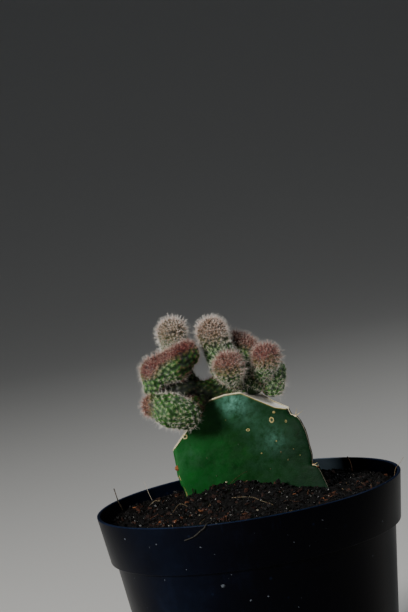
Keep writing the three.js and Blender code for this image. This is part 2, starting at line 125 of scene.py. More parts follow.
# Heads of the scion, each a chain of balls (x, y, z, radius) from its root to its growing tip
HEADS = {
    "scion_base": ((-22.5, 1.5, 120.8, 2.6), (-15.5, 3.2, 120.2, 3.0), (-9, 6.5, 118.6, 2.8),
                   (-4, 9, 118.7, 3.4), (1.8, 11, 118.8, 4.8), (7.5, 10.8, 118.5, 4.2)),
    "head_centre_back": ((-2.3, 8.8, 124.8, 3.5), (-1.9, 9, 129.5, 4.0), (-3.4, 8, 137.2, 4.8)),
    "head_low_left": ((-9.4, 1.8, 116.7, 1.6), (-12.7, -1.0, 115.3, 2.3), (-16.3, -5, 113.6, 4.2),
                      (-20.4, -6, 115.6, 4.8), (-25.5, -5, 118, 3.6)),
    "head_crest_left": ((-25.4, -1.7, 122.8, 2.6), (-23.5, 1, 127.9, 4.3), (-17.9, 2, 129.0, 4.7),
                        (-12.9, 4, 131.8, 4.2)),
    "head_top_left": ((-10.5, 11, 118.8, 2.2), (-13.8, 12.3, 121.4, 2.8), (-16, 12.3, 126.6, 3.0),
                      (-16.6, 11, 132.6, 3.6), (-16.4, 9, 139.2, 4.6)),
    "head_centre_front": ((0.9, 5.4, 121.8, 3.2), (0.2, 0, 125.7, 4.8)),
    "head_crest_right": ((6.2, 14.9, 124.6, 2.9), (5.9, 14.4, 129.9, 3.0), (3.8, 15, 132.3, 2.7),
                         (8.4, 13.2, 129.9, 2.6)),
    "head_right_front": ((10.8, 7.4, 121.6, 3.2), (12.7, 3, 126.5, 4.4)),
    "head_right": ((13.4, 11.2, 116.5, 4.0), (14.6, 10.2, 121.2, 4.0)),
}
STALKS = {"head_crest_right": 2}
BLEND = 2.4
SINK = 0.4

# Where each head grows: points along its tip or crest, how far its young tissue reaches, and how red that is
GROWING = {
    "head_centre_back": (((-3.4, 6.5, 141.6),), 10.5, 0.7),
    "head_low_left": (((-29.2, -5.6, 118.6),), 5.6, 0.85),
    "head_crest_left": (
        ((-25.4, -1.8, 129.6), (-23.4, -1.2, 132.0), (-18.0, 0.2, 133.4), (-12.4, 2.4, 135.8)), 4.4, 1.0),
    "head_top_left": (((-16.4, 7.4, 143.4),), 10.0, 0.6),
    "head_centre_front": (((0.2, -1.6, 130.2),), 8.4, 0.9),
    "head_crest_right": (((3.0, 14.0, 134.9), (9.4, 12.2, 132.0)), 4.6, 0.9),
    "head_right_front": (((12.7, 1.4, 130.6),), 8.0, 1.0),
}

# Painted shade: places where the heads' flesh is painted dark as shade, as (x, y, z, reach, strength)
PAINTED_SHADE_SPOTS = ((-9.4, 1.8, 116.7, 7.0, 1.0), (-12.6, -1.0, 129.6, 4.6, 0.75))

# Bare tan spots on the heads, as (x, y, z, radius)
BARE_SPOTS = ((14.4, -1.2, 127.2, 0.9), (7.7, 6.4, 121.6, 1.0))

# The photograph's camera: how far it stands from the middle of the rim, and how it is turned
CAMERA_DISTANCE = 558.2
CAMERA_RISE, CAMERA_YAW, CAMERA_PITCH, CAMERA_ROLL = np.radians((9.77, -0.47, -3.42, -9.3))
CAMERA_LENS = 100


def linear(shade):
    """Linear RGBA of an sRGB hex colour. Any other value stays as it is."""
    if not isinstance(shade, str):
        return shade
    values = [int(shade[i:i + 2], 16) / 255 for i in (1, 3, 5)]
    return [v / 12.92 if v <= 0.04045 else ((v + 0.055) / 1.055) ** 2.4 for v in values] + [1.0]


def colour(name, description, hex_colour):
    """A colour property with its default."""
    return FloatVectorProperty(
        name=name, description=description, size=4, subtype="COLOR", min=0, max=1, default=linear(hex_colour))


def length(name, description, millimetres):
    """A length property with its default."""
    return FloatProperty(
        name=name, description=description, default=millimetres * MM, min=0, unit="LENGTH", precision=5)


def amount(name, description, count):
    """A property that counts pieces, with its default."""
    return IntProperty(name=name, description=description, default=count, min=0)


def power(name, description, watts):
    """A light's power property with its default."""
    return FloatProperty(name=name, description=description, default=watts, min=0, unit="POWER")


class PotSettings(bpy.types.PropertyGroup):
    """Sizes and colours of the pot."""

    rim_radius: length("Rim radius", "Outer radius of the rim", RIM_RADIUS)
    wall: length("Wall", "Thickness of the moulded wall", 1.1)
    lip_rounding: length("Lip rounding", "Rounding of the moulded edges", 0.25)
    plastic: colour("Plastic", "Black of the moulded polypropylene", "#010104")
    # This dust colour also paints the bluish sheen on the pot's left and its lip
    dust: colour("Dust", "Pale film of dust and dried hard water", "#3c5280")


class SoilSettings(bpy.types.PropertyGroup):
    """Amounts and colours of the potting mix."""

    crumbs: amount("Crumbs", "Number of small peat crumbs", 9000)
    chips: amount("Chips", "Number of bark chips", 220)
    grains: amount("Grains", "Number of perlite grains", 520)
    peat: colour("Peat", "Dark moist peat", "#0d0a09")
    rust: colour("Rusty peat", "Rusty fibrous peat and bark", "#3f2317")
    perlite: colour("Perlite", "Puffed volcanic glass", "#8b8c88")
    straw: colour("Straw", "Dry roots and plant fibres", "#867556")


class RootstockSettings(bpy.types.PropertyGroup):
    """Sizes and colours of the winged stem."""

    margin_radius: length("Margin radius", "Half the width of the horny line along each wing", 0.2)
    skin: colour("Skin", "Deep green of the waxy skin", "#06300c")
    skin_light: colour("Light skin", "Lighter green between the veins", "#17581f")
    # Colour of the wax bloom, which also paints the pale sheen spots on the stem's front
    bloom: colour("Bloom", "Bluish wax bloom", "#619685")
    horn: colour("Horn", "Tan horny margin and corky scars", "#8f8048")
    cut: colour("Cut", "Dried flesh of the knife cuts", "#f6f3ec")


class ScionSettings(bpy.types.PropertyGroup):
    """Sizes and colours of the spiny heads."""

    areole_spacing: length("Areole spacing", "Least distance between two spine cushions", 1.15)
    spine_length: length("Spine length", "Length of a usual spine", 1.9)
    spine_radius: length("Spine radius", "Radius of a spine at its root", 0.055)
    flesh: colour("Flesh", "Fresh green flesh", "#22540f")
    # Painted shade: the dark green of the furrows
    painted_furrow_shade: colour("Deep flesh", "Darker green in the furrows", "#061706")
    young: colour("Young flesh", "Red of the growing tissue", "#5e2824")
    spine: colour("Spine", "White spines", "#efece2")
    spine_young: colour("Young spine", "Red-brown spines of the growing tips", "#7c3438")


class StageSettings(bpy.types.PropertyGroup):
    """The floor and the lights."""

    key_power: power("Key light", "Power of the soft light at the upper left", 18)
    fill_power: power("Fill light", "Power of the weak bluish light at the left", 1.5)
    rim_power: power("Rim light", "Power of the light at the right", 5.2)
    paper: colour("Paper", "Pale studio floor", "#e2e0db")


# The settings that a node mostly has, and the output that is taken from it where that is not its first
USUAL = {"Mix": {"data_type": "RGBA"}, "Math": {"operation": "MULTIPLY_ADD"}}
OUTPUTS = {"Mix": 2, "Attribute": "Fac", "TexCoord": "Object", "VectorMath": "Value"}


def add_node(tree, kind, inputs=None, stops=None, **settings):
    """Add a node and return its output. Inputs take values, hex colours or sockets; stops fill a ramp."""
    node = tree.nodes.new("ShaderNode" + kind)
    for name, value in {**USUAL.get(kind, {}), **settings}.items():
        setattr(node, name, value)
    for socket, value in (inputs or {}).items():
        if isinstance(value, bpy.types.NodeSocket):
            tree.links.new(value, node.inputs[socket])
        else:
            node.inputs[socket].default_value = linear(value)
    if stops:
        elements = node.color_ramp.elements
        while len(elements) < len(stops):
            elements.new(1.0)
        for element, (place, shade) in zip(elements, stops):
            element.position = place
            element.color = (shade, shade, shade, 1) if isinstance(shade, float) else linear(shade)
    return node.outputs[OUTPUTS.get(kind, 0)] if node.outputs else node


def new_material(name):
    """An empty material, a function that adds a node to it, and its object coordinates."""
    material = bpy.data.materials.new(name)
    material.use_nodes = True
    material.node_tree.nodes.clear()
    add = partial(add_node, material.node_tree)
    return material, add, add("TexCoord")


def finish_material(material, inputs):
    """Add the shader and the output to a material, which is returned."""
    shader = add_node(material.node_tree, "BsdfPrincipled", inputs)
    add_node(material.node_tree, "OutputMaterial", {"Surface": shader})
    return material


def per_mm(size):
    """Texture scale for a pattern whose features are this many millimetres apart."""
    return 1 / (size * MM)


def toned_material(name, attribute, share, grain, stops, relief, inputs, stretch=None):
    """A material that runs along a ramp by an attribute and a share of its grain, which also roughens it.

    The grain has its size in mm, detail and roughness, the relief its strength and its depth in mm.
    """
    material, add, place = new_material(name)
    if stretch:
        place = add("Mapping", {"Vector": place, "Scale": stretch})
    pattern = add("TexNoise", {"Vector": place, "Scale": per_mm(grain[0]), "Detail": grain[1],
                               "Roughness": grain[2]})
    mixed = add("Math", {0: pattern, 1: share, 2: add("Attribute", attribute_name=attribute)})
    shade = add("ValToRGB", {"Fac": mixed}, stops)
    bump = add("Bump", {"Height": pattern, "Strength": relief[0], "Distance": relief[1] * MM})
    return finish_material(material, {"Base Color": shade, "Normal": bump, **inputs})


def moulded_polypropylene(settings):
    """Black injection-moulded polypropylene: a satin skin with a faint dust film, painted bluish sheen and
    light, a painted highlight inside the wall and dried water marks.
    """
    material, add, place = new_material("moulded_polypropylene")
    film = add("TexNoise", {"Vector": place, "Scale": per_mm(17), "Detail": 7, "Roughness": 0.68})
    upright = add("Mapping", {"Vector": place, "Scale": (1, 1, 0.06)})
    streak = add("TexNoise", {"Vector": upright, "Scale": per_mm(1.1), "Detail": 3, "Roughness": 0.6})
    mark = add("TexVoronoi", {"Vector": place, "Scale": per_mm(8), "Randomness": 1.0})
    dust = add("ValToRGB", {"Fac": film}, [(0.58, 0.0), (0.95, 0.035)])
    for pattern, stops in (
            (streak, [(0.64, 0.0), (0.9, 0.03)]),
            (mark, [(0.0, 0.04), (0.045, 0.03), (0.075, 0.0)])):
        dust = add("Math", {0: dust, 1: add("ValToRGB", {"Fac": pattern}, stops)}, operation="MAXIMUM")
    cloudy = add("MapRange", {
        "Value": film, "From Min": 0.3, "From Max": 0.75, "To Min": 0.012, "To Max": 0.045})
    # The film is real dust plus painted sheen at the left, painted light inside the wall and a painted
    # highlight on the lip
    dust = add("Math", {0: add("Attribute", attribute_name="dusty"), 1: cloudy, 2: dust})
    # A painted highlight: a pale bluish patch inside the wall to the right of the stem
    away = add("VectorMath", {0: place, 1: Vector(PAINTED_HIGHLIGHT_SPOT) * MM}, operation="DISTANCE")
    painted_highlight = add("MapRange", {
        "Value": away, "From Min": 2.5 * MM, "From Max": 9 * MM, "To Min": 1.0, "To Max": 0.0})
    inner = add("Attribute", attribute_name="inner")
    painted_highlight = add("Math", {0: painted_highlight, 1: inner}, operation="MULTIPLY")
    dust = add("Math", {0: dust, 1: painted_highlight}, operation="ADD", use_clamp=True)
    dust_and_sheen_coloured = add("Mix", {0: dust, 6: settings.plastic, 7: settings.dust})
    shade = add("Mix", {0: painted_highlight, 6: dust_and_sheen_coloured, 7: "#dbe6f4"})
    rough = add("MapRange", {"Value": dust, "To Min": 0.3, "To Max": 0.8})
    peel = add("TexNoise", {"Vector": place, "Scale": per_mm(0.7), "Detail": 2})
    wave = add("TexNoise", {"Vector": place, "Scale": per_mm(14), "Detail": 1})
    relief = add("Math", {0: wave, 1: 6.0, 2: peel})
    bump = add("Bump", {"Height": relief, "Strength": 0.35, "Distance": 0.04 * MM})
    return finish_material(material, {
        "Base Color": shade, "Roughness": rough, "Normal": bump, "IOR": 1.49, "Specular IOR Level": 0.035})


def dried_hard_water():
    """Dried splashes of hard water and grit: dull and grey."""
    material, add, place = new_material("dried_hard_water")
    grain = add("TexNoise", {"Vector": place, "Scale": per_mm(0.4), "Detail": 3})
    shade = add("ValToRGB", {"Fac": grain}, [(0.3, "#23272e"), (0.7, "#5d646e")])
    return finish_material(material, {"Base Color": shade, "Roughness": 0.9})


def moist_peat(settings):
    """Moist peat: near-black to rusty crumbs, each with its own tone, with small damp glints."""
    material, add, place = new_material("moist_peat")
    speckle = add("TexNoise", {"Vector": place, "Scale": per_mm(0.5), "Detail": 4})
    mixed = add("Math", {0: speckle, 1: 0.36, 2: add("Attribute", attribute_name="tone")})
    black = [0.22 * part for part in settings.peat[:3]] + [1.0]
    shade = add("ValToRGB", {"Fac": mixed}, [
        (0.2, black), (0.54, settings.peat), (0.84, settings.rust), (1.0, "#855232")])
    damp = add("TexNoise", {"Vector": place, "Scale": per_mm(2.2), "Detail": 3})
    rough = add("MapRange", {
        "Value": damp, "From Min": 0.35, "From Max": 0.6, "To Min": 0.22, "To Max": 0.95})
    grit = add("TexNoise", {"Vector": place, "Scale": per_mm(0.22), "Detail": 3})
    bump = add("Bump", {"Height": grit, "Strength": 0.8, "Distance": 0.09 * MM})
    return finish_material(material, {
        "Base Color": shade, "Roughness": rough, "Normal": bump, "IOR": 1.4, "Specular IOR Level": 0.3})


def composted_bark(settings):
    """Composted pine bark: rusty brown with a fibrous grain."""
    return toned_material(
        "composted_bark", "tone", 0.7, (0.35, 4, 0.7),
        [(0.25, settings.peat), (0.7, settings.rust), (1.0, "#7d4e30")], (0.8, 0.12),
        {"Roughness": 0.82, "IOR": 1.45, "Specular IOR Level": 0.25}, stretch=(1, 0.2, 1))


def perlite(settings):
    """Perlite and grit: chalky grains, dusted brown by the peat, full of small pores."""
    material, add, place = new_material("perlite")
    pores = add("TexVoronoi", {"Vector": place, "Scale": per_mm(0.28)})
    stain = add("TexNoise", {"Vector": place, "Scale": per_mm(0.9), "Detail": 4})
    stained = add("ValToRGB", {"Fac": stain}, [(0.35, 0.0), (0.65, 0.85)])
    tone = add("Attribute", attribute_name="tone")
    clean = add("ValToRGB", {"Fac": tone}, [(0.5, settings.perlite), (1.0, "#e6dfb8")])
    shade = add("Mix", {0: stained, 6: clean, 7: "#4a4038"})
    bump = add("Bump", {"Height": pores, "Strength": 0.9, "Distance": 0.1 * MM})
    return finish_material(material, {"Base Color": shade, "Roughness": 0.9, "Normal": bump, "IOR": 1.5})


def dry_root_fibre(settings):
    """Dry roots and twigs: from dark brown and rusty to straw and grey, patchy."""
    return toned_material(
        "dry_root_fibre", "tone", 0.4, (0.9, 4, 0.5),
        [(0.3, "#15120d"), (0.42, "#35301f"), (0.55, "#5f3019"), (0.75, settings.straw), (1.0, "#cdc6b6")],
        (0.5, 0.05), {"Roughness": 0.7, "IOR": 1.45})


def waxy_cactus_skin(settings):
    """Skin of a winged cactus stem: deep green, blotched, painted lighter towards its left, with bluish wax
    bloom and painted sheen, small pores and dark flecks.
    """
    material, add, place = new_material("waxy_cactus_skin")
    blotch = add("TexNoise", {"Vector": place, "Scale": per_mm(7), "Detail": 6, "Roughness": 0.6})
    # Painted light: the skin is lighter towards the stem's left
    depth = add("Math", {0: blotch, 1: 0.5, 2: add("Attribute", attribute_name="sunned")})
    shade = add("ValToRGB", {"Fac": depth}, [
        (0.22, "#011e06"), (0.5, settings.skin), (0.8, settings.skin_light)])
    cloud = add("TexNoise", {"Vector": place, "Scale": per_mm(2.4), "Detail": 5, "Roughness": 0.7})
    cloudy = add("ValToRGB", {"Fac": cloud}, [(0.36, 0.12), (0.68, 1.0)])
    # This attribute paints pale bluish sheen spots as well as the wax bloom
    bloom = add("Attribute", attribute_name="bloom")
    bloom = add("Math", {0: bloom, 1: cloudy}, operation="MULTIPLY", use_clamp=True)
    # Pores are 0.4 mm apart; drawn at 0.6 mm so that they show
    pore = add("TexVoronoi", {"Vector": place, "Scale": per_mm(0.6)})
    pores = add("ValToRGB", {"Fac": pore}, [(0.1, 0.12), (0.3, 0.0)])
    fleck = add("TexVoronoi", {"Vector": place, "Scale": per_mm(4.5)})
    flecks = add("ValToRGB", {"Fac": fleck}, [(0.02, 0.75), (0.055, 0.0)])
    horn = add("Attribute", attribute_name="horn")
    for share, tint in (
            (bloom, settings.bloom), (pores, "#2d6a35"), (flecks, "#0a1a0e"), (horn, settings.horn)):
        shade = add("Mix", {0: share, 6: shade, 7: tint})
    rough = add("MapRange", {
        "Value": cloud, "From Min": 0.3, "From Max": 0.7, "To Min": 0.42, "To Max": 0.6})
    swell = add("Math", {0: cloud, 1: 4.0, 2: pore})
    bump = add("Bump", {"Height": swell, "Strength": 0.35, "Distance": 0.05 * MM})
    return finish_material(material, {
        "Base Color": shade, "Roughness": rough, "Normal": bump, "IOR": 1.42, "Specular IOR Level": 0.15})


def dried_cut_flesh(settings):
    """Dried knife cut: cream flesh with faint strands, tan and horny along its edges."""
    material, add, place = new_material("dried_cut_flesh")
    along = add("Mapping", {"Vector": place, "Scale": (0.25, 1, 1)})
    strand = add("TexNoise", {"Vector": along, "Scale": per_mm(0.8), "Detail": 5, "Roughness": 0.65})
    cream = add("ValToRGB", {"Fac": strand}, [(0.3, "#dcd5c2"), (0.55, settings.cut)])
    shade = add("Mix", {0: add("Attribute", attribute_name="horn"), 6: cream, 7: settings.horn})
    bump = add("Bump", {"Height": strand, "Strength": 0.6, "Distance": 0.12 * MM})
    return finish_material(material, {"Base Color": shade, "Roughness": 0.72, "Normal": bump, "IOR": 1.42})


def corky_horn(settings):
    """Horny margins, dried lips and corky scars: from dark olive over brown and tan to cream, patchy."""
    return toned_material(
        "corky_horn", "pale", 0.5, (1.0, 5, 0.5),
        [(0.25, "#0f3512"), (0.42, "#403a18"), (0.65, settings.horn), (0.9, "#c8bb86"), (1.0, "#e0d6b8")],
        (0.6, 0.08), {"Roughness": 0.62, "IOR": 1.5})


def areole_felt():
    """Felt of an areole's cushion: from rusty brown to pale tan, woolly and dull."""
    return toned_material(
        "areole_felt", "pale", 0.8, (0.3, 4, 0.5), [(0.55, "#58200f"), (0.85, "#a8743a"), (1.0, "#d9c7a6")],
        (1.0, 0.15), {"Roughness": 0.95})


def cactus_head_flesh(settings):
    """Flesh of the spiny heads: green, with painted shade in the furrows and painted light on the knobs, red
    where it grows, and brown to near black where it is old and where shade is painted.
    """
    material, add, place = new_material("cactus_head_flesh")
    mottle = add("TexNoise", {"Vector": place, "Scale": per_mm(1.6), "Detail": 5})
    # Painted shade and light: the furrows are darker and the knobs lighter, following the relief
    painted_relief_shade = add("Math", {0: add("Attribute", attribute_name="relief"), 1: 0.5, 2: 0.12})
    lift = add("Math", {0: mottle, 1: 0.5, 2: painted_relief_shade})
    shade, red, brown = (add("ValToRGB", {"Fac": lift}, list(zip((0.28, 0.62, 0.95), tints))) for tints in (
        (settings.painted_furrow_shade, settings.flesh, "#4c8426"), ("#150708", settings.young, "#7f4a3a"),
        ("#020302", "#090b06", "#1a2010")))
    # Old tissue and painted shade darken the flesh to near black
    for attribute, tint in (("young", red), ("old", brown), ("felt", "#5c4e36")):
        shade = add("Mix", {0: add("Attribute", attribute_name=attribute), 6: shade, 7: tint})
    bump = add("Bump", {"Height": mottle, "Strength": 0.4, "Distance": 0.06 * MM})
    return finish_material(material, {
        "Base Color": shade, "Roughness": 0.55, "Normal": bump, "IOR": 1.4, "Subsurface Weight": 0.1,
        "Subsurface Radius": (0.6, 1.0, 0.3), "Subsurface Scale": 0.6 * MM})


def cactus_spine(settings):
    """Bristly spines: glassy white, pink-brown where they are young, dark on old tissue and where shade is
    painted, with a faint sheen along them.
    """
    return toned_material(
        "cactus_spine", "tone", 0.3, (0.8, 2, 0.5),
        [(0.22, settings.spine), (0.42, "#b48e7c"), (0.6, settings.spine_young), (0.78, "#401c1c"),
         (1.0, "#100d0a")], (0.1, 0.02), {"Roughness": 0.42, "IOR": 1.5, "Subsurface Weight": 0.15,
                      "Subsurface Radius": (1.0, 0.9, 0.7), "Subsurface Scale": 0.4 * MM})


def seamless_paper(settings):
    """Matt seamless paper with a barely visible tooth."""
    material, add, place = new_material("seamless_paper")
    tooth = add("TexNoise", {"Vector": place, "Scale": per_mm(1.5), "Detail": 3})
    faint = add("MapRange", {"Value": tooth, "To Min": 0.97, "To Max": 1.0})
    shade = add("Mix", {0: 1.0, 6: settings.paper, 7: faint}, blend_type="MULTIPLY")
    return finish_material(material, {"Base Color": shade, "Roughness": 0.95, "Specular IOR Level": 0.2})


def closed(name, work):
    """Close a working mesh and return it as a mesh."""
    mesh = bpy.data.meshes.new(name)
    work.to_mesh(mesh)
    work.free()
    return mesh


def merge(work, mesh):
    """Add a mesh to a working mesh and drop it."""
    work.from_mesh(mesh)
    bpy.data.meshes.remove(mesh)


def mesh_of(name, work, smooth=True, sharp=None):
    """Close a working mesh in millimetres and return it as a mesh in metres."""
    mesh = closed(name, work)
    mesh.transform(Matrix.Scale(MM, 4))
    if smooth:
        mesh.shade_smooth()
    if sharp:
        mesh.set_sharp_from_angle(angle=math.radians(sharp))
    return mesh


def add_piece(name, mesh, materials, slot, replaced=(), **attributes):
    """Show a mesh as a piece on the part's one body. Its materials read the attributes of its vertices."""
    for attribute, values in attributes.items():
        made = mesh.attributes.get(attribute) or mesh.attributes.new(attribute, "FLOAT", "POINT")
        made.data.foreach_set("value", np.asarray(values, dtype=np.float32))
    for material in materials:
        mesh.materials.append(material)
    piece = bpy.data.objects.new(name, mesh)
    bpy.context.scene.collection.objects.link(piece)
    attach(piece, "root")
    if replaced:
        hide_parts(*replaced)


def turned(profile, steps):
    """Turn a profile of (radius, height) points round the upright axis."""
    work = bmesh.new()
    line = [work.verts.new((radius, 0, height)) for radius, height in profile]
    edges = [work.edges.new(pair) for pair in zip(line, line[1:])]
    bmesh.ops.spin(work, geom=line + edges, cent=(0, 0, 0), axis=UP, angle=FULL_TURN, steps=steps,
                   use_merge=True)
    bmesh.ops.remove_doubles(work, verts=work.verts, dist=1e-4)
    bmesh.ops.recalc_face_normals(work, faces=work.faces)
    return work


def extrude_ring(work, edges):
    """Extrude a loop of edges on the spot and return its new vertices and edges."""
    made = bmesh.ops.extrude_edge_only(work, edges=edges)["geom"]
    verts = [item for item in made if isinstance(item, bmesh.types.BMVert)]
    fresh = set(verts)
    loop = [item for item in made if isinstance(item, bmesh.types.BMEdge) and fresh.issuperset(item.verts)]
    return verts, loop


def add_tube(work, points, radii, sides=6):
    """Sweep a small circle along a line of points, with both ends closed."""
    points = [Vector(point) for point in points]
    turn = UP.rotation_difference(points[1] - points[0])
    ring = bmesh.ops.create_circle(work, segments=sides, radius=1)["verts"]
    edges = list({edge for vert in ring for edge in vert.link_edges})
    place = Matrix.LocRotScale(points[0], turn, Vector.Fill(3, radii[0]))
    bmesh.ops.transform(work, matrix=place, verts=ring)
    bmesh.ops.contextual_create(work, geom=edges)
    ahead = points[1] - points[0]
    for i in range(1, len(points)):
        verts, edges = extrude_ring(work, edges)
        onward = points[min(i + 1, len(points) - 1)] - points[i - 1]
        turn = ahead.rotation_difference(onward) @ turn
        ahead = onward
        move = Matrix.LocRotScale(points[i], turn, Vector.Fill(3, radii[i]))
        bmesh.ops.transform(work, matrix=move @ place.inverted(), verts=verts)
        place = move
    bmesh.ops.contextual_create(work, geom=edges)


def shade_new(work, layer, value):
    """Give the vertices that were added last their shade."""
    for vert in work.verts:
        if not vert[layer]:
            vert[layer] = value


def scatter(templates, placed, batch=150):
    """Join copies of small meshes, placed by (template, matrix), in their order."""
    whole = bmesh.new()
    for start in range(0, len(placed), batch):
        part = bmesh.new()
        for template, matrix in placed[start:start + batch]:
            copy = templates[template].copy()
            copy.transform(matrix)
            merge(part, copy)
        merge(whole, closed("batch", part))
    return whole


def chip_templates(random, count, subdivisions, squash):
    """Rough lumps of unit size: balls with their vertices pushed in and out."""
    templates = []
    for _ in range(count):
        work = bmesh.new()
        bmesh.ops.create_icosphere(work, subdivisions=subdivisions, radius=1)
        for vert in work.verts:
            vert.co *= random.uniform(0.68, 1.25)
        bmesh.ops.scale(work, vec=(1, random.uniform(0.6, 1), squash), verts=work.verts)
        templates.append(closed("lump", work))
    return templates


# Pot


def wall_radius(z):
    """Outer radius of the pot's body at a height."""
    return FOOT_RADIUS + (BODY_TOP_RADIUS - FOOT_RADIUS) * z / (POT_HEIGHT - COLLAR_HEIGHT)


def collar_radius(z, rim):
    """Outer radius of the pot's collar at a height."""
    return rim + (rim - COLLAR_FOOT_RADIUS) * (z - POT_HEIGHT) / COLLAR_HEIGHT


# A painted highlight: a pale bluish patch on the inside of the wall
PAINTED_HIGHLIGHT_SPOT = (27.4, 40.0, 81.6)

# Faces this far inside the outer face belong to the inside of the wall, and its collar starts at this height
INSIDE_DEPTH = 0.6
INSIDE_COLLAR = 70

# Where the painted bluish light and sheen lie most on the wall's inside and outside, as degrees from the
# front and spread, and the painted highlight on the lip
INNER_PAINTED_LIGHT = (-138, 35)
OUTER_PAINTED_SHEEN = (-42, 24)
LIP_PAINTED_HIGHLIGHT = 5.0
LIP_DEPTH = 0.15


def inside_pot(x, y, z):
    """Whether a point of the pot's wall is on its inside."""
    outer = wall_radius(z) if z < INSIDE_COLLAR else collar_radius(z, RIM_RADIUS)
    return math.hypot(x, y) < outer - INSIDE_DEPTH


def dust_and_sheen_amount(x, y, z):
    """How much bluish film lies on the pot: painted sheen on the left outside, painted light inside the wall
    at the left and a painted highlight along the lip.
    """
    turn = math.degrees(math.atan2(x, -y))
    most_sheen_at, reach = INNER_PAINTED_LIGHT if inside_pot(x, y, z) else OUTER_PAINTED_SHEEN
    return math.exp(-((turn - most_sheen_at) / reach) ** 2) + (LIP_PAINTED_HIGHLIGHT if z > POT_HEIGHT - LIP_DEPTH else 0.0)


class OBJECT_OT_cactus_pot(bpy.types.Operator):
    """Build the thin-walled moulded pot with its collar, foot ring and drain holes"""

    bl_idname = "object.cactus_pot"
    bl_label = "Nursery pot"

    def execute(self, context):
        settings = context.scene.cactus_pot
        rim, wall = settings.rim_radius / MM, settings.wall / MM
        step = POT_HEIGHT - COLLAR_HEIGHT
        ledge = step + wall
        floor_top = FLOOR_RISE + FLOOR_THICKNESS
        foot_inner = FOOT_RADIUS - FOOT_RING
        profile = [
            (0, FLOOR_RISE), (foot_inner, FLOOR_RISE), (foot_inner + 0.3, 0), (FOOT_RADIUS, 0),
            (BODY_TOP_RADIUS, step), (COLLAR_FOOT_RADIUS, step), (rim, POT_HEIGHT),
            (rim - wall, POT_HEIGHT), (collar_radius(ledge, rim) - wall, ledge + 0.2),
            (BODY_TOP_RADIUS - wall, ledge), (wall_radius(floor_top) - wall, floor_top), (0, floor_top)]
        work = turned(profile, POT_STEPS)
        corner = math.radians(20)
        edges = [edge for edge in work.edges if edge.is_manifold and edge.calc_face_angle() > corner]
        bmesh.ops.bevel(work, geom=edges, offset=settings.lip_rounding / MM, offset_type="OFFSET", segments=3,
                        profile=0.5, affect="EDGES", material=-1)
        pot = bpy.data.objects.new("pot_blank", mesh_of("pot_blank", work))
        drill = bmesh.new()
        for i in range(-1, DRAIN_COUNT):
            turn, out = i * FULL_TURN / DRAIN_COUNT, 0 if i < 0 else DRAIN_CIRCLE
            centre = Matrix.Translation((out * math.cos(turn), out * math.sin(turn), FLOOR_RISE))
            bmesh.ops.create_cone(drill, cap_ends=True, segments=32, radius1=DRAIN_RADIUS,
                                  radius2=DRAIN_RADIUS, depth=6, matrix=centre)
        drills = bpy.data.objects.new("drain_drills", mesh_of("drain_drills", drill))
        for item in (pot, drills):
            context.scene.collection.objects.link(item)
        cut = pot.modifiers.new("drains", "BOOLEAN")
        cut.operation, cut.object, cut.solver = "DIFFERENCE", drills, "EXACT"
        mesh = bpy.data.meshes.new_from_object(pot.evaluated_get(context.evaluated_depsgraph_get()))
        for item in (pot, drills):
            bpy.data.objects.remove(item)
        mesh.name = "nursery_pot"
        mesh.shade_smooth()
        mesh.set_sharp_from_angle(angle=math.radians(38))
        spots = [vert.co / MM for vert in mesh.vertices]
        add_piece("nursery_pot", mesh, [moulded_polypropylene(settings)], "pot", ["pot"],
                  dusty=[dust_and_sheen_amount(*spot) for spot in spots], inner=[inside_pot(*spot) for spot in spots])
        return {"FINISHED"}


# Dried splashes and dust on the pot's outside, as (x, y, z, radius)
SPLASHES = (
    (-12.1, -43.9, 65.4, 0.9), (-40.2, -29.0, 81.2, 0.45), (-32.7, -37.0, 78.9, 0.3),
    (-30.3, -39.0, 79.9, 0.35), (-16.9, -46.3, 78.3, 0.35), (-29.6, -35.0, 67.8, 0.3),
    (-22.4, -43.0, 71.6, 0.25), (-4.5, -44.6, 59.7, 0.5), (0.9, -44.9, 60.1, 0.35), (20.6, -44.9, 80.3, 0.4),
    (-39.6, -22.9, 67.4, 0.3))


# Flecks at random besides them: how many and of how many shapes, how thick they are and how they lie
FLECK_COUNT = 150
FLECK_KINDS = 6
FLECK_THICKNESS = 0.15
FLECK_LEAN = math.radians(84)


class OBJECT_OT_cactus_splashes(bpy.types.Operator):
    """Scatter thin dried splashes and flecks of grit over the pot's outside"""

    bl_idname = "object.cactus_splashes"
    bl_label = "Dried splashes"

    def execute(self, context):
        settings = context.scene.cactus_pot
        random = np.random.default_rng(11)
        rim = settings.rim_radius / MM
        placed = [(math.atan2(y, x), z, size) for x, y, z, size in SPLASHES]
        for _ in range(FLECK_COUNT):
            turn, z = random.uniform(0, FULL_TURN), random.uniform(4, 84)
            placed.append((turn, z, 0.1 + 0.28 * random.random() ** 3))
        templates = chip_templates(random, FLECK_KINDS, 1, 0.3)
        matrices = []
        for turn, z, size in placed:
            on_collar = z > POT_HEIGHT - COLLAR_HEIGHT
            radius = collar_radius(z, rim) if on_collar else wall_radius(z)
            lean = Quaternion(UP, turn) @ Quaternion((0, 1, 0), FLECK_LEAN)
            spin = Quaternion(UP, random.uniform(0, 6.28))
            place = Vector((radius * math.cos(turn), radius * math.sin(turn), z))
            kind = int(random.integers(FLECK_KINDS))
            sizes = Vector((size, size * random.uniform(0.5, 1), min(0.5 * size, FLECK_THICKNESS)))
            matrices.append((kind, Matrix.LocRotScale(place, lean @ spin, sizes)))
        mesh = mesh_of("dried_splashes", scatter(templates, matrices))
        add_piece("dried_splashes", mesh, [dried_hard_water()], "pot")
        return {"FINISHED"}


# Soil


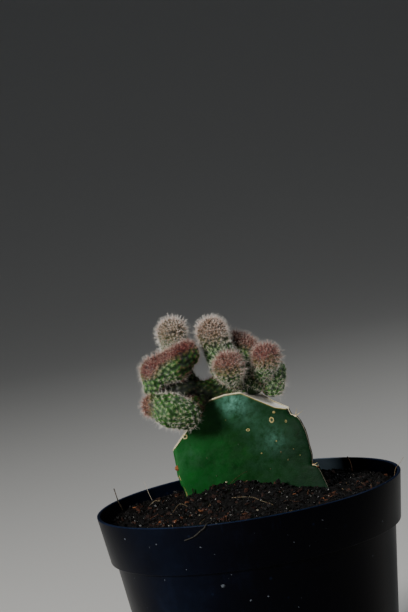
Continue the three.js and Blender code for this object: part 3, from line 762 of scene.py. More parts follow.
def soil_height(x, y):
    """Height of the potting mix: level, heaped round the stem, with crossed waves."""
    away = (x - MOUND_CENTRE[0]) ** 2 + (y - MOUND_CENTRE[1]) ** 2
    waves = 0.42 * np.sin(0.62 * x + 1.3) * np.cos(0.55 * y - 0.4)
    waves = waves + 0.26 * (np.sin(1.31 * x - 0.9 * y + 0.7) + np.cos(1.17 * y + 0.83 * x))
    return SOIL_LEVEL + SOIL_MOUND * np.exp(-away / (2 * MOUND_SPREAD ** 2)) + waves


def rough_ground(x, y):
    """Fine clods on top of the even ground."""
    small = noise.noise(Vector((x * 0.9, y * 0.9, 3.1)))
    fine = noise.noise(Vector((x * 2.3, y * 2.3, 7.7)))
    return float(soil_height(x, y)) + 0.35 * small + 0.3 * fine


# Rusty, fibrous patches of the mix, as (x, y, reach), and how rusty they are
RUSTIEST = 0.68
RUSTY_PATCHES = (
    (-30.2, -16.9, 3.5), (-24.3, -19, 3.5), (-15.8, -17.8, 2.6), (-18.3, -3.4, 2.6), (-8.7, -25.8, 3.6),
    (-2.5, -26.7, 2.6), (25.8, -14, 2.4), (23.3, -18.3, 2), (35.3, 1.1, 2.2), (45, 10, 3.2), (-37, 16, 2.6),
    (12, 34, 4), (-12, 38, 4), (38, -12, 3))

# Loose bits lie this far inside the mix's edge, and the higher the power, the more of them are small
WALL_GAP = 0.6
SMALLNESS = 2.2

# Tones of the crumbs and chips, from dark to rusty
PEAT_TONES = (0.0, 0.0, 0.02, 0.04, 0.06, 0.09, 0.12, 0.16, 0.22, 0.3)
BARK_TONES = (0.0, 0.05, 0.12, 0.2)

# Single bits that stand out, as (x, y, lift, half sizes, heading in degrees, paleness)
WOOD_BITS = (
    (-27.3, 37.6, 0.3, (1.9, 0.8, 0.5), 8, 0.8), (-38.6, 22.1, 0.2, (1.4, 0.6, 0.4), -5, 0.6),
    (-17.8, 0.2, 1.6, (0.22, 0.3, 2.2), 0, -0.25), (10.0, -2.2, 1.5, (0.9, 0.6, 2.1), 20, -0.25),
    (11.6, -2.4, 1.2, (0.6, 0.5, 1.4), -30, -0.25), (23.3, -18.3, 0.2, (1.3, 0.8, 0.4), 10, 0.45),
    (27.1, -10.1, 0.3, (1.3, 0.9, 0.6), 60, 0.4), (14.4, -10.2, 0.2, (0.6, 0.5, 0.4), 0, 0.6),
    (-29, -17.5, 0.2, (1.6, 0.8, 0.4), 15, 0.45), (-24.3, -19, 0.2, (1.8, 0.8, 0.4), -8, 0.5),
    (-15.8, -17.8, 0.2, (0.7, 0.6, 0.5), 0, 0.6), (-2.5, -26.7, 0.2, (1.3, 0.6, 0.3), 12, 0.5))
PALE_BITS = (
    (-7.1, -26.2, 0.15, (1.3, 0.4, 0.25), 10, 0.5), (-40.6, -0.9, 0.2, (0.4, 0.4, 0.4), 0, 0.5),
    (-35.5, -9.6, 0.2, (0.4, 0.35, 0.35), 0, 0.7), (-31.4, -14.5, 0.2, (0.4, 0.5, 0.3), 0, 0.5),
    (2.0, -24.7, 0.2, (0.55, 0.45, 0.4), 0, 0.75), (-6.8, 2.6, 0.8, (0.45, 0.35, 0.3), 0, 1.0),
    (5.5, -8.8, 0.2, (0.5, 0.35, 0.3), 30, 0.5), (6.6, -9.4, 0.2, (0.4, 0.3, 0.3), -20, 0.5),
    (-13, -21, 0.2, (0.35, 0.3, 0.3), 0, 0.5), (34.5, 14, 0.2, (0.4, 0.3, 0.3), 0, 0.5))


def rustiness(x, y):
    """How rusty the mix is at a place."""
    spots = sum(math.exp(-((x - a) ** 2 + (y - b) ** 2) / reach ** 2) for a, b, reach in RUSTY_PATCHES)
    return RUSTIEST * min(spots, 1)


class OBJECT_OT_cactus_soil(bpy.types.Operator):
    """Fill the pot with potting mix: the ground with its peat crumbs, bark chips and perlite"""

    bl_idname = "object.cactus_soil"
    bl_label = "Potting mix"

    def ground(self, settings):
        """The ground itself: a plug that fills the pot, with a fine grid of rings on top."""
        edge = collar_radius(SOIL_LEVEL, RIM_RADIUS) - MIX_EDGE_INSET
        floor = FLOOR_RISE + FLOOR_THICKNESS + MIX_OVER_FLOOR
        ledge = POT_HEIGHT - COLLAR_HEIGHT + MIX_OVER_LEDGE
        profile = [(0, floor), (wall_radius(floor) - MIX_INSET, floor), (BODY_TOP_RADIUS - MIX_INSET, ledge),
                   (collar_radius(ledge, RIM_RADIUS) - MIX_INSET, ledge + 0.2)]
        profile += [(radius, SOIL_LEVEL) for radius in np.linspace(edge, 0, GROUND_RINGS)]
        work = turned(profile, GROUND_STEPS)
        for vert in work.verts:
            if vert.co.z > SOIL_LEVEL - 0.01:
                vert.co.z = rough_ground(vert.co.x, vert.co.y)
        mesh = mesh_of("potting_mix", work)
        tones = [0.22 + 0.3 * noise.noise(Vector(vert.co) * 420) for vert in mesh.vertices]
        add_piece("potting_mix", mesh, [moist_peat(settings)], "soil", ["soil"], tone=tones)

    def pieces(self, name, random, count, sizes, templates, tones, material, lift=0.1, bits=()):
        """Scatter lumps of one kind over the ground, after those whose places are given."""
        edge = collar_radius(SOIL_LEVEL, RIM_RADIUS) - MIX_EDGE_INSET
        placed, tone = [], []
        for x, y, z, size, heading, paleness in bits:
            place = Vector((x, y, rough_ground(x, y) + z))
            matrix = Matrix.LocRotScale(place, Quaternion(UP, math.radians(heading)), Vector(size))
            placed.append((len(placed) % len(templates), matrix))
            tone.append(paleness)
        while len(placed) < count:
            radius, turn = (edge - WALL_GAP) * math.sqrt(random.random()), random.uniform(0, FULL_TURN)
            x, y = radius * math.cos(turn), radius * math.sin(turn)
            size = sizes[0] + (sizes[1] - sizes[0]) * random.random() ** SMALLNESS
            if radius + size > edge:
                continue
            place = Vector((x, y, rough_ground(x, y) + lift * size))
            turned_by = Quaternion(random.normal(size=4)).normalized()
            kind = int(random.integers(len(templates)))
            placed.append((kind, Matrix.LocRotScale(place, turned_by, Vector.Fill(3, size))))
            tone.append(random.choice(tones) + rustiness(x, y) * random.random())
        mesh = mesh_of(name, scatter(templates, placed), smooth=False)
        add_piece(name, mesh, [material], "soil", tone=np.repeat(tone, len(templates[0].vertices)))

    def execute(self, context):
        settings = context.scene.cactus_soil
        random = np.random.default_rng(5)
        self.ground(settings)
        small = chip_templates(random, 10, 1, 0.8)
        large = chip_templates(random, 8, 2, 0.42)
        peat = bpy.data.materials["moist_peat"]
        bark, white = composted_bark(settings), perlite(settings)
        self.pieces("peat_crumbs", random, settings.crumbs, (0.22, 0.8), small, PEAT_TONES, peat)
        self.pieces(
            "bark_chips", random, settings.chips, (0.5, 1.6), large, BARK_TONES, bark, 0.05, WOOD_BITS)
        grains = chip_templates(random, 6, 1, 0.85)
        self.pieces(
            "perlite_grains", random, settings.grains, (0.05, 0.32), grains, (0.5,), white, 0.5, PALE_BITS)
        return {"FINISHED"}


# Dry roots and twigs in the mix, as (radius, paleness, points)
FIBRES = (
    (0.26, 0.12, ((-12.0, -41.5, 82.4), (-12.8, -44.6, 84.2), (-13.4, -46.9, 85.35), (-14.2, -48.4, 85.1),
                  (-14.8, -48.4, 84.3), (-16.0, -47.6, 83.5), (-17.2, -47.1, 82.6), (-18.5, -46.5, 81.8),
                  (-20.0, -45.8, 81.3), (-21.4, -45.2, 80.9))),
    (0.09, 0.5, ((-26.0, -13.0, 82.7), (-25.7, -11.8, 83.1), (-24.5, -9.5, 84.1), (-23.2, -6.8, 85.0),
                  (-21.8, -6.3, 85.2), (-20.0, -11.1, 85.0))),
    (0.07, 0.56, ((-5.5, -12.9, 85.75), (-3.0, -14.3, 85.8), (-0.2, -14.3, 85.4), (1.7, -14.4, 84.8),
                 (3.7, -18.6, 84.2), (5.8, -20.7, 83.6), (7.0, -22.0, 83.0))),
    (0.045, 0.3, ((-5.6, 1.6, 87.6), (-4.6, 2.6, 88.4), (-2.6, 2.9, 89.5), (-0.8, 3.1, 90.4),
                  (0.6, 3.2, 90.7))),
    (0.09, 0.5, ((47.4, -2.2, 81.6), (47.8, -2, 83), (48.5, -2, 84.9), (49.9, -2, 86.1), (51.5, -2, 88))),
    (0.32, 0.22, ((-43.2, 21, 80.8), (-43.2, 21, 82.2), (-43.9, 21, 84.1), (-44.4, 21, 86.8),
                  (-44.8, 21, 89.4))),
    (0.1, 0.7, ((-33, 34, 80.2), (-33.4, 34, 81.2), (-33.9, 34, 82.8), (-34.4, 34, 84.9), (-35.1, 34, 88.1))),
    (0.34, 0.42, ((36.1, 27, 80.0), (36.1, 27, 82.5), (35.9, 27, 84.6), (35.3, 27, 86.4))),
    (0.14, 0.5, ((-20, 34, 82.0), (-14, 38, 83.0), (-7, 37, 83.0), (-1, 41, 82.0))),
    (0.14, 0.6, ((20, 36, 82.0), (15, 33, 83.4), (8, 36, 83.2), (3, 34, 82.6))),
)

# Thin roots that lie loose, within a reach of the pot's middle
LOOSE_ROOTS = 70
LOOSE_REACH = 45


class OBJECT_OT_cactus_fibres(bpy.types.Operator):
    """Lay dry roots and twigs in the potting mix and over the rim"""

    bl_idname = "object.cactus_fibres"
    bl_label = "Dry roots"

    def execute(self, context):
        settings = context.scene.cactus_soil
        random = np.random.default_rng(23)
        work = bmesh.new()
        tone = work.verts.layers.float.new("tone")
        for radius, paleness, corners in FIBRES:
            points = smooth_line(corners, 5)
            radii = [radius * (1 - 0.45 * i / len(points)) * random.uniform(0.7, 1.2)
                     for i in range(len(points))]
            add_tube(work, points, radii)
            shade_new(work, tone, paleness)
        for _ in range(LOOSE_ROOTS):
            turn, far = random.uniform(0, FULL_TURN), LOOSE_REACH * math.sqrt(random.random())
            heading, reach = random.uniform(0, FULL_TURN), random.uniform(1.5, 6)
            radius = random.uniform(0.04, 0.1)
            x, y = far * math.cos(turn), far * math.sin(turn)
            points = []
            for i in range(6):
                if math.hypot(x, y) > LOOSE_REACH + 2:
                    break
                points.append((x, y, rough_ground(x, y) + 0.25 + 0.35 * random.random()))
                x += math.cos(heading) * reach / 5
                y += math.sin(heading) * reach / 5
                heading += random.uniform(-0.6, 0.6)
            if len(points) > 2:
                add_tube(work, points, [radius] * len(points), sides=4)
                shade_new(work, tone, random.uniform(0.05, 0.6))
        bmesh.ops.recalc_face_normals(work, faces=work.faces)
        add_piece("dry_roots", mesh_of("dry_roots", work), [dry_root_fibre(settings)], "soil")
        return {"FINISHED"}


# Rootstock


def smooth_line(corners, steps, loop=False):
    """A Catmull-Rom line through points, with a number of steps from each to the next."""
    corners = [np.array(corner, float) for corner in corners]
    count = len(corners)
    points = []
    for i in range(count if loop else count - 1):
        near = [(i + k) % count if loop else min(max(i + k, 0), count - 1) for k in (-1, 0, 1, 2)]
        a, b, c, d = (corners[k] for k in near)
        between = steps if isinstance(steps, int) else steps[i]
        for t in (step / between for step in range(between)):
            points.append(0.5 * (2 * b + (c - a) * t + (2 * a - 5 * b + 4 * c - d) * t ** 2
                                 + (3 * b - a - 3 * c + d) * t ** 3))
    return points if loop else points + [corners[-1]]


def rib_outline():
    """Section of the stem at its reference size, anticlockwise."""
    corners = []
    for angle in RIB_ANGLES:
        along = np.array((math.cos(angle), math.sin(angle)))
        across = np.array((-along[1], along[0]))
        half = [(a, -b) for a, b in HALF_RIB] + [(a, b) for a, b in reversed(HALF_RIB)]
        corners += [a * along + b * across for a, b in half]
    return smooth_line(corners, [14, 20, 4, 4, 4, 20, 14, 10] * 3, loop=True)


def rib_place(x, y):
    """Which rib a point of the section belongs to, and how far along and across it lies."""
    best = None
    for rib, angle in enumerate(RIB_ANGLES):
        along = x * math.cos(angle) + y * math.sin(angle)
        if best is None or along > best[1]:
            best = (rib, along, y * math.cos(angle) - x * math.sin(angle))
    return best


def rib_lengths(rib, z):
    """Length of a rib at a height: of its flesh, which is smooth, and of its notched margin."""
    margin = float(np.interp(z, MARGINS[:, 0], MARGINS[:, rib + 1]))
    near = np.linspace(z - FLESH_REACH, z + FLESH_REACH, 9)
    flesh = float(np.interp(near, MARGINS[:, 0], MARGINS[:, rib + 1]).mean())
    return flesh, margin


def stem_point(rib, along, across, z):
    """A point of the section at a height, with its rib stretched to its margin there."""
    share = max(along - VALLEY_ALONG, 0) / (RIB_REFERENCE - VALLEY_ALONG)
    flesh, margin = rib_lengths(rib, z)
    along = along + share ** FLESH_POWER * (flesh - RIB_REFERENCE) + share ** MARGIN_POWER * (margin - flesh)
    angle = RIB_ANGLES[rib]
    return Vector((STEM_AXIS[0] + along * math.cos(angle) - across * math.sin(angle),
                   STEM_AXIS[1] + along * math.sin(angle) + across * math.cos(angle), z))


def cut_height(x, y):
    """Height of the knife cuts over a point."""
    front = np.where(x <= BEVEL_CUT[0, 0], np.interp(x, TOP_CUT[:, 0], TOP_CUT[:, 1]),
                     np.interp(x, BEVEL_CUT[:, 0], BEVEL_CUT[:, 1]) + BEVEL_LEAN * (y - BEVEL_PIVOT))
    return np.minimum(front, np.interp(y, BACK_CUT[:, 0], BACK_CUT[:, 1], left=200))


def margin_point(rib, z, inward=0.0):
    """A point on a rib's margin."""
    return stem_point(rib, RIB_REFERENCE, 0, z) - inward * Vector(
        (math.cos(RIB_ANGLES[rib]), math.sin(RIB_ANGLES[rib]), 0))


# The spots of wax bloom and painted sheen are full in front of this depth and weaker behind it, and a little
# wax bloom is everywhere
BLOOM_AND_SHEEN_DEPTH = 8
BACK_BLOOM_AND_SHEEN = 0.2
LEAST_BLOOM = 0.03

# Spots of wax bloom with painted sheen on the stem's front, as (x, z, reach, strength)
BLOOM_AND_SHEEN_SPOTS = ((-0.8, 114.4, 3.6, 1.0), (2.5, 110.8, 4.5, 0.25), (11.3, 99.6, 3.6, 0.28), (8.0, 103.0, 5, 0.1),
          (5.5, 95, 4, 0.03), (-18, 99, 4, 0.12))

# Sections of a ring-shaped and a plain scar of unit size, as (radius, height), with the ring's dark hole
RING = ((0, 0.02), (0.4, 0.0), (0.55, 0.03), (0.7, 0.14), (0.86, 0.1), (1.0, -0.06))
DOT = ((0, 0.12), (0.4, 0.11), (0.75, 0.05), (1.0, -0.06))
RING_HOLE = 0.5
RING_HOLE_TONE = -0.12

# Corky scars on the stem's front, as (x, z, half width, half height, section, paleness)
SCARS = (
    (11.3, 106.3, 0.85, 1.05, RING, 0.5), (12.4, 108.7, 0.55, 0.5, DOT, 0.36),
    (3.1, 104.2, 0.6, 0.55, RING, 0.45), (15.8, 105.2, 0.36, 0.5, RING, 0.42),
    (6.3, 95.9, 0.36, 0.3, DOT, 0.3), (11.7, 99.2, 0.3, 0.34, DOT, 0.3), (12.6, 95.4, 0.34, 0.4, DOT, 0.14),
    (16.8, 95.9, 0.22, 0.28, DOT, 0.2), (18.6, 93.6, 0.2, 0.22, DOT, 0.3), (14.5, 92.6, 0.25, 0.3, DOT, 0.25),
    (-17.5, 105.6, 0.85, 0.85, RING, 0.62), (-14.8, 108, 0.5, 0.4, DOT, 0.75),
    (-0.7, 100, 0.32, 0.3, DOT, -0.1), (-9.4, 91, 0.32, 0.25, DOT, -0.1), (-11.6, 97.4, 0.2, 0.2, DOT, 0.1),
    (8.4, 90.4, 0.25, 0.3, DOT, 0.1), (-3.6, 108.6, 0.18, 0.18, DOT, 0.3))

# Rings across the cut from its edge to its middle, as (share of the way, depth, how horny)
CUT_RINGS = ((0.03, 0.02, 1.0), (0.07, 0.22, 0.55), (0.14, 0.3, 0.15), (0.3, 0.3, 0.0), (0.5, 0.3, 0.0),
             (0.75, 0.3, 0.0), (1.0, 0.3, 0.0))

# Horny lines on the margins, as (rib, lowest, highest, share of full width, paleness, to the front, inward)
MARGIN_LINES = (
    (0, 80.5, 110, 0.5, 0.42, 0, 0.08), (0, 91.6, 93.8, 0.7, 0.5, 0.1, 0.03), (0, 84, 88, 1.0, 0.3, 0.1, 0.0),
    (1, 80.5, 120, 0.62, 0.78, -0.2, -0.22), (2, 80.5, 120, 1.0, 0.35, 0, 0.08))

# Paleness of the dried lip round the cuts
LIP_PALENESS = 0.76

# The stout spines of the margins: radius at root and tip, and how deep they are sunk
STOUT_ROOT = 0.17
STOUT_TIP = 0.02
STOUT_SUNK = 0.6

# Areoles on the margins, as (rib, height, cushion radius, paleness, spines as direction and length)
AREOLES = (
    (1, 106.2, 0.62, 0.9, (((0.35, -0.25, 1), 2.4), ((1, -0.2, 0.55), 2.8))),
    (1, 89.6, 0.62, 0.55, (((0.9, -0.3, 0.5), 1.6),)),
    (1, 88.8, 0.62, -0.1, (((0.6, -0.6, 0.9), 1.3),)),
    (0, 95.8, 0.82, 0.24, ()),
    (0, 92.6, 0.35, 0.8, (((-1, -0.4, 0.3), 1.2),)),
    (2, 98.0, 0.8, 0.5, (((0.3, 1, 0.6), 2.6), ((-0.4, 1, 0.1), 2.2))),
    (2, 89.6, 0.8, 0.5, (((0.2, 1, 0.5), 2.2),)),
)


# Thickness of the dried lip, as (least, lumps): at the bevel and the back, at the left, in the middle
THIN_LIP = (0.07, 0.0)
LEFT_LIP = (0.09, 0.15)
MIDDLE_LIP = (0.2, 0.35)


def lip_radius(point):
    """How thick the dried lip of the knife cuts is at a point of their edge."""
    least, lumps = LEFT_LIP if point.x < -12 else MIDDLE_LIP
    if point.y > 6 or point.x > BEVEL_CUT[0, 0]:
        least, lumps = THIN_LIP
    return least + lumps * max(noise.noise(point * 1.3), 0)


class OBJECT_OT_cactus_rootstock(bpy.types.Operator):
    """Build the winged stem with its knife cuts, horny margins, areoles and scars"""

    bl_idname = "object.cactus_rootstock"
    bl_label = "Rootstock"

    def column_top(self, place):
        """Where the wall above a point of the section meets the cut."""
        z = HIGHEST_CUT
        for _ in range(40):
            spot = stem_point(*place, z)
            z = 0.5 * z + 0.5 * float(cut_height(spot.x, spot.y))
        return z

    def wall_point(self, place, z):
        """A point of the wall with the slight unevenness of living flesh."""
        spot = stem_point(*place, z)
        out = Vector((spot.x - STEM_AXIS[0], spot.y - STEM_AXIS[1], 0)).normalized()
        uneven = 0.22 * noise.noise(spot * 0.13) + 0.08 * noise.noise(spot * 0.45)
        return spot + out * uneven

    def build_stem(self):
        """The stem as a working mesh, and the points of its top edge."""
        outline = rib_outline()
        places = [rib_place(*point) for point in outline]
        tops = [self.column_top(place) for place in places]
        work = bmesh.new()
        column = work.verts.layers.int.new("column")
        cut = work.verts.layers.float.new("cut")
        horn = work.verts.layers.float.new("horn")
        ring = bmesh.ops.create_circle(work, segments=len(outline), radius=1)["verts"]
        for i, vert in enumerate(ring):
            vert[column] = i
            vert.co = self.wall_point(places[i], STEM_FOOT)
        edges = list(work.edges)
        bmesh.ops.contextual_create(work, geom=edges)
        for share in [-1.0] + list(np.linspace(0, 1, STEM_RINGS)):
            verts, edges = extrude_ring(work, edges)
            for vert in verts:
                i = vert[column]
                z = STEM_BURIED if share < 0 else STEM_SHOWING + (tops[i] - STEM_SHOWING) * share
                vert.co = self.wall_point(places[i], z)
                on_edge = places[i][0] == BACK_RIB and places[i][1] > RIB_REFERENCE - 0.1
                vert[horn] = 1.0 if share == 1 else BACK_HORN if on_edge else 0.0
        rim = {vert[column]: vert.co.copy() for vert in verts}
        for share, drop, edge_tone in CUT_RINGS:
            verts, edges = extrude_ring(work, edges)
            for vert in verts:
                rib, along, across = places[vert[column]]
                middle = max(along - VALLEY_ALONG, 0) * RIB_REFERENCE / (RIB_REFERENCE - VALLEY_ALONG) - 0.4
                along += share * (max(middle, 0) - along)
                spot = stem_point(rib, along, across * (1 - share), tops[vert[column]])
                depth = drop + 0.1 * noise.noise(spot * 0.8)
                vert.co = Vector((spot.x, spot.y, float(cut_height(spot.x, spot.y)) - depth))
                vert[cut] = 1.0
                vert[horn] = edge_tone
        bmesh.ops.remove_doubles(work, verts=verts, dist=0.02)
        bmesh.ops.holes_fill(work, edges=[edge for edge in work.edges if edge.is_boundary], sides=0)
        bmesh.ops.recalc_face_normals(work, faces=work.faces)
        for face in work.faces:
            face.material_index = 1 if all(vert[cut] > 0.5 for vert in face.verts) else 0
        return work, rim

    def add_skin(self, settings, work):
        """Show the stem with its wax bloom and painted sheen, and painted light: lighter green towards its
        left.
        """
        mesh = mesh_of("winged_stem", work, sharp=42)
        bloom_and_sheen_shares = []
        for vert in mesh.vertices:
            x, y, z = vert.co / MM
            spots = sum(strength * math.exp(-((x - a) ** 2 + (z - b) ** 2) / reach ** 2)
                        for a, b, reach, strength in BLOOM_AND_SHEEN_SPOTS)
            bloom_and_sheen_shares.append(min(spots, 1) * (1.0 if y < BLOOM_AND_SHEEN_DEPTH else BACK_BLOOM_AND_SHEEN) + LEAST_BLOOM)
        # Painted light: lighter green towards the left of the stem
        sunned = [0.25 - 0.012 * vert.co.x / MM for vert in mesh.vertices]
        materials = [waxy_cactus_skin(settings), dried_cut_flesh(settings)]
        add_piece("winged_stem", mesh, materials, "rootstock", ["rootstock"], bloom=bloom_and_sheen_shares, sunned=sunned)

    def add_horn(self, settings, rim, faces):
        """Horny lines along the three margins and round the cuts, and corky scars on the faces."""
        random = np.random.default_rng(17)
        work = bmesh.new()
        pale = work.verts.layers.float.new("pale")
        size = settings.margin_radius / MM
        for rib, low, high, share, paleness, front, inward in MARGIN_LINES:
            heights = np.arange(low, min(self.column_top((rib, RIB_REFERENCE, 0)) + 0.2, high), 0.45)
            shift = Vector((0, -front, 0))
            points = [margin_point(rib, z, inward) + shift + Vector(random.uniform(-0.02, 0.02, 3))
                      for z in heights]
            radii = [size * share * (0.85 + 0.6 * abs(noise.noise(point * 0.5))) for point in points]
            add_tube(work, points, radii, sides=7)
            shade_new(work, pale, paleness)
        points = [rim[i] + Vector((0, 0, 0.02)) for i in sorted(rim)]
        radii = [lip_radius(point) for point in points]
        add_tube(work, points + points[:1], radii + radii[:1], sides=6)
        shade_new(work, pale, LIP_PALENESS)
        for x, z, wide, high, section, paleness in SCARS:
            hit, normal, _, _ = faces.ray_cast(Vector((x, -60, z)), Vector((0, 1, 0)))
            if hit is None:
                raise RuntimeError(f"no skin under the scar at {x}, {z}")
            scar = turned(section, 16)
            layer = scar.verts.layers.float.new("pale")
            for vert in scar.verts:
                in_hole = section is RING and vert.co.xy.length < RING_HOLE
                vert[layer] = RING_HOLE_TONE if in_hole else paleness
                vert.co *= 1 + 0.3 * noise.noise(vert.co * 1.7 + Vector((x, z, 0)))
            across = Matrix.Scale(wide, 4, (1, 0, 0)) @ Matrix.Scale(high, 4, (0, 0, 1))
            lay = UP.rotation_difference(Vector((0, -1, 0))).to_matrix().to_4x4()
            lean = Vector((0, -1, 0)).rotation_difference(normal).to_matrix().to_4x4()
            bmesh.ops.transform(scar, verts=scar.verts, matrix=Matrix.Translation(hit) @ lean @ across @ lay)
            merge(work, closed("scar", scar))
        bmesh.ops.recalc_face_normals(work, faces=work.faces)
        add_piece("horny_margins", mesh_of("horny_margins", work), [corky_horn(settings)], "rootstock")

    def add_areoles(self, settings):
        """Felted cushions in the notches of the margins, each with a few stout spines."""
        random = np.random.default_rng(29)
        felt, spines = bmesh.new(), bmesh.new()
        pale = felt.verts.layers.float.new("pale")
        for rib, z, radius, paleness, needles in AREOLES:
            centre = margin_point(rib, z, 0.6 - radius if rib == 0 else 0.15)
            ball = bmesh.ops.create_icosphere(felt, subdivisions=3, radius=radius)["verts"]
            for vert in ball:
                vert.co *= 0.85 + 0.3 * random.random()
                vert.co.z *= 1.1 if rib == 0 else 0.8
                vert[pale] = paleness
            bmesh.ops.translate(felt, vec=centre, verts=ball)
            for direction, reach in needles:
                turn = UP.rotation_difference(Vector(direction))
                cone = bmesh.ops.create_cone(
                    spines, cap_ends=True, segments=10, radius1=STOUT_ROOT, radius2=STOUT_TIP,
                    depth=reach + STOUT_SUNK)["verts"]
                bmesh.ops.transform(spines, verts=cone, matrix=Matrix.LocRotScale(
                    centre + turn @ Vector((0, 0, reach / 2)), turn, None))
        add_piece("margin_areoles", mesh_of("margin_areoles", felt), [areole_felt()], "rootstock")
        mesh = mesh_of("margin_spines", spines)
        horn = bpy.data.materials["corky_horn"]
        add_piece("margin_spines", mesh, [horn], "rootstock", pale=[0.5] * len(mesh.vertices))

    def execute(self, context):
        settings = context.scene.cactus_rootstock
        work, rim = self.build_stem()
        faces = BVHTree.FromBMesh(work)
        self.add_skin(settings, work)
        self.add_horn(settings, rim, faces)
        self.add_areoles(settings)
        return {"FINISHED"}


# Scion


def chain_distance(points, balls):
    """Distance from points to a chain of balls joined by cones, below zero inside."""
    distance = None
    for low, high in zip(balls, balls[1:]):
        low, high = np.array(low), np.array(high)
        axis = high[:3] - low[:3]
        offset = points - low[:3]
        share = np.clip(offset @ axis / (axis @ axis), 0, 1)
        radius = low[3] + (high[3] - low[3]) * share
        piece = np.linalg.norm(offset - share[:, None] * axis, axis=1) - radius
        if distance is None:
            distance = piece
        else:
            near = np.maximum(BLEND - np.abs(distance - piece), 0) / BLEND
            distance = np.minimum(distance, piece) - near * near * BLEND / 4
    return distance


def stem_clearance(points):
    """Clearance from the rootstock, measured over its cut top and before its front face."""
    left, right = (margin_point(rib, 100) for rib in (0, 1))
    middle = STEM_AXIS[1] - VALLEY_RADIUS
    front = np.interp(points[:, 0], (left.x, STEM_AXIS[0], right.x), (left.y - 0.6, middle, right.y - 0.6))
    return np.maximum(front - points[:, 1], 0.8 * (points[:, 2] - cut_height(points[:, 0], points[:, 1])))


def head_field(name, points):
    """Below zero inside a head, which sinks a little into the stem that it is grafted on."""
    return np.maximum(chain_distance(points, HEADS[name]), -SINK - stem_clearance(points))


def field_slope(name, points):
    """Gradient of a head's field."""
    probe = 0.01
    here = head_field(name, points)
    slope = np.stack([(head_field(name, points + probe * axis) - here) / probe for axis in np.eye(3)], axis=1)
    return here, slope


def onto_skin(name, points, rounds):
    """Move points to the head's surface."""
    for _ in range(rounds):
        here, slope = field_slope(name, points)
        points = points - (here / np.maximum((slope ** 2).sum(axis=1), 0.25))[:, None] * slope
    return points


def relaxed(work, name, rounds):
    """Even out the faces of a head's skin, keeping it on the surface."""
    points = np.array([vert.co for vert in work.verts])
    ends = np.array([[vert.index for vert in edge.verts] for edge in work.edges])
    degree = np.bincount(ends.ravel(), minlength=len(points))[:, None]
    for _ in range(rounds):
        total = np.zeros_like(points)
        np.add.at(total, ends[:, 0], points[ends[:, 1]])
        np.add.at(total, ends[:, 1], points[ends[:, 0]])
        points = onto_skin(name, total / degree, 2)
    points = onto_skin(name, points, 4)
    for vert, point in zip(work.verts, points):
        vert.co = point


def head_skin(name):
    """The skin of one head: a ball pushed out from the head's own line to its surface, then refined."""
    work = bmesh.new()
    bmesh.ops.create_icosphere(work, subdivisions=4, radius=1)
    balls = np.array(HEADS[name])[:STALKS.get(name)]
    line = np.array(smooth_line(balls[:, :3], 10))
    tangents = np.gradient(line, axis=0)
    starts, directions = [], []
    for vert in work.verts:
        place = min(max(0.5 + 0.55 * vert.co.z, 0), 1) * (len(line) - 1)
        low = min(int(place), len(line) - 2)
        share = place - low
        starts.append(line[low] * (1 - share) + line[low + 1] * share)
        tangent = Vector(tangents[low] * (1 - share) + tangents[low + 1] * share)
        directions.append(UP.rotation_difference(tangent) @ vert.co)
    points, directions = np.array(starts), np.array(directions)
    for _ in range(80):
        points += directions * (np.maximum(-head_field(name, points), 0) * 0.8)[:, None]
    for vert, point in zip(work.verts, points):
        vert.co = point
    work.verts.index_update()
    relaxed(work, name, 6)
    for _ in range(2):
        bmesh.ops.subdivide_edges(work, edges=work.edges, cuts=1, use_grid_fill=True)
        work.verts.index_update()
        relaxed(work, name, 1)
    return work


# How far apart a head's areoles are and how dark its spines are, against the others
HEAD_LOOKS = {
    "head_top_left": (1.0, 0.62),
    "head_centre_back": (1.0, 0.66),
    "head_low_left": (1.14, 1.0),
    "head_crest_left": (1.08, 1.0),
    "head_right": (1.12, 1.0),
}

# Areoles stand this much closer in young tissue and farther apart in old tissue and where shade is painted
YOUNG_CLOSER = 0.28
OLD_AND_SHADED_FARTHER = 0.35

# Knobs of the flesh: reach against the areoles' gaps, height, depth of the furrows, flatness when young
KNOB_REACH = 0.62
KNOB_HEIGHT = 0.32
FURROW_DEPTH = 0.35
YOUNG_FLATTER = 0.4

# Spines of an areole: ranges of their lean in degrees, of their length, and of their tone at root and tip
CENTRAL_SPINE = ((3, 28), (0.85, 1.15), (0.4, 1.0), (0.0, 0.15))
RADIAL_SPINE = ((36, 74), (0.5, 0.8), (0.3, 1.0), (0.0, 0.3))

# Number of different spine clusters of each kind, how high they stand, and radius of the felt under them
CLUSTER_KINDS = 10
CLUSTER_LIFT = 0.2
FELT_RADIUS = 0.16

# Least distance of an areole from other heads, from the stem, and from the bevel, which starts at an x
HEAD_CLEAR = 0.3
STEM_CLEAR = 0.15
BEVEL_CLEAR = 2.0
BEVEL_START = 4

# How far the spines turn down and how much longer they are, below the base and on the right head
HANGING = (1.1, 1.4)
DROOPING = (0.35, 1.15)


def off_spots(points, spots):
    """How many radii points are off the nearest of some spots, each (x, y, z, radius)."""
    return np.min([np.linalg.norm(points - spot[:3], axis=1) / spot[3] for spot in spots], axis=0)


def young_share(name, points):
    """How young the tissue is at each point: 1 at the growing tip or crest, 0 beyond its reach."""
    if name not in GROWING:
        return np.zeros(len(points))
    line, reach, _ = GROWING[name]
    line = [np.array(point, float) for point in line]
    near = np.full(len(points), 1e9)
    for low, high in zip(line, line[1:] or line):
        axis = high - low
        share = np.clip((points - low) @ axis / max(axis @ axis, 1e-9), 0, 1)
        near = np.minimum(near, np.linalg.norm(points - low - share[:, None] * axis, axis=1))
    return np.clip(2.0 * (1 - near / reach), 0, 1)


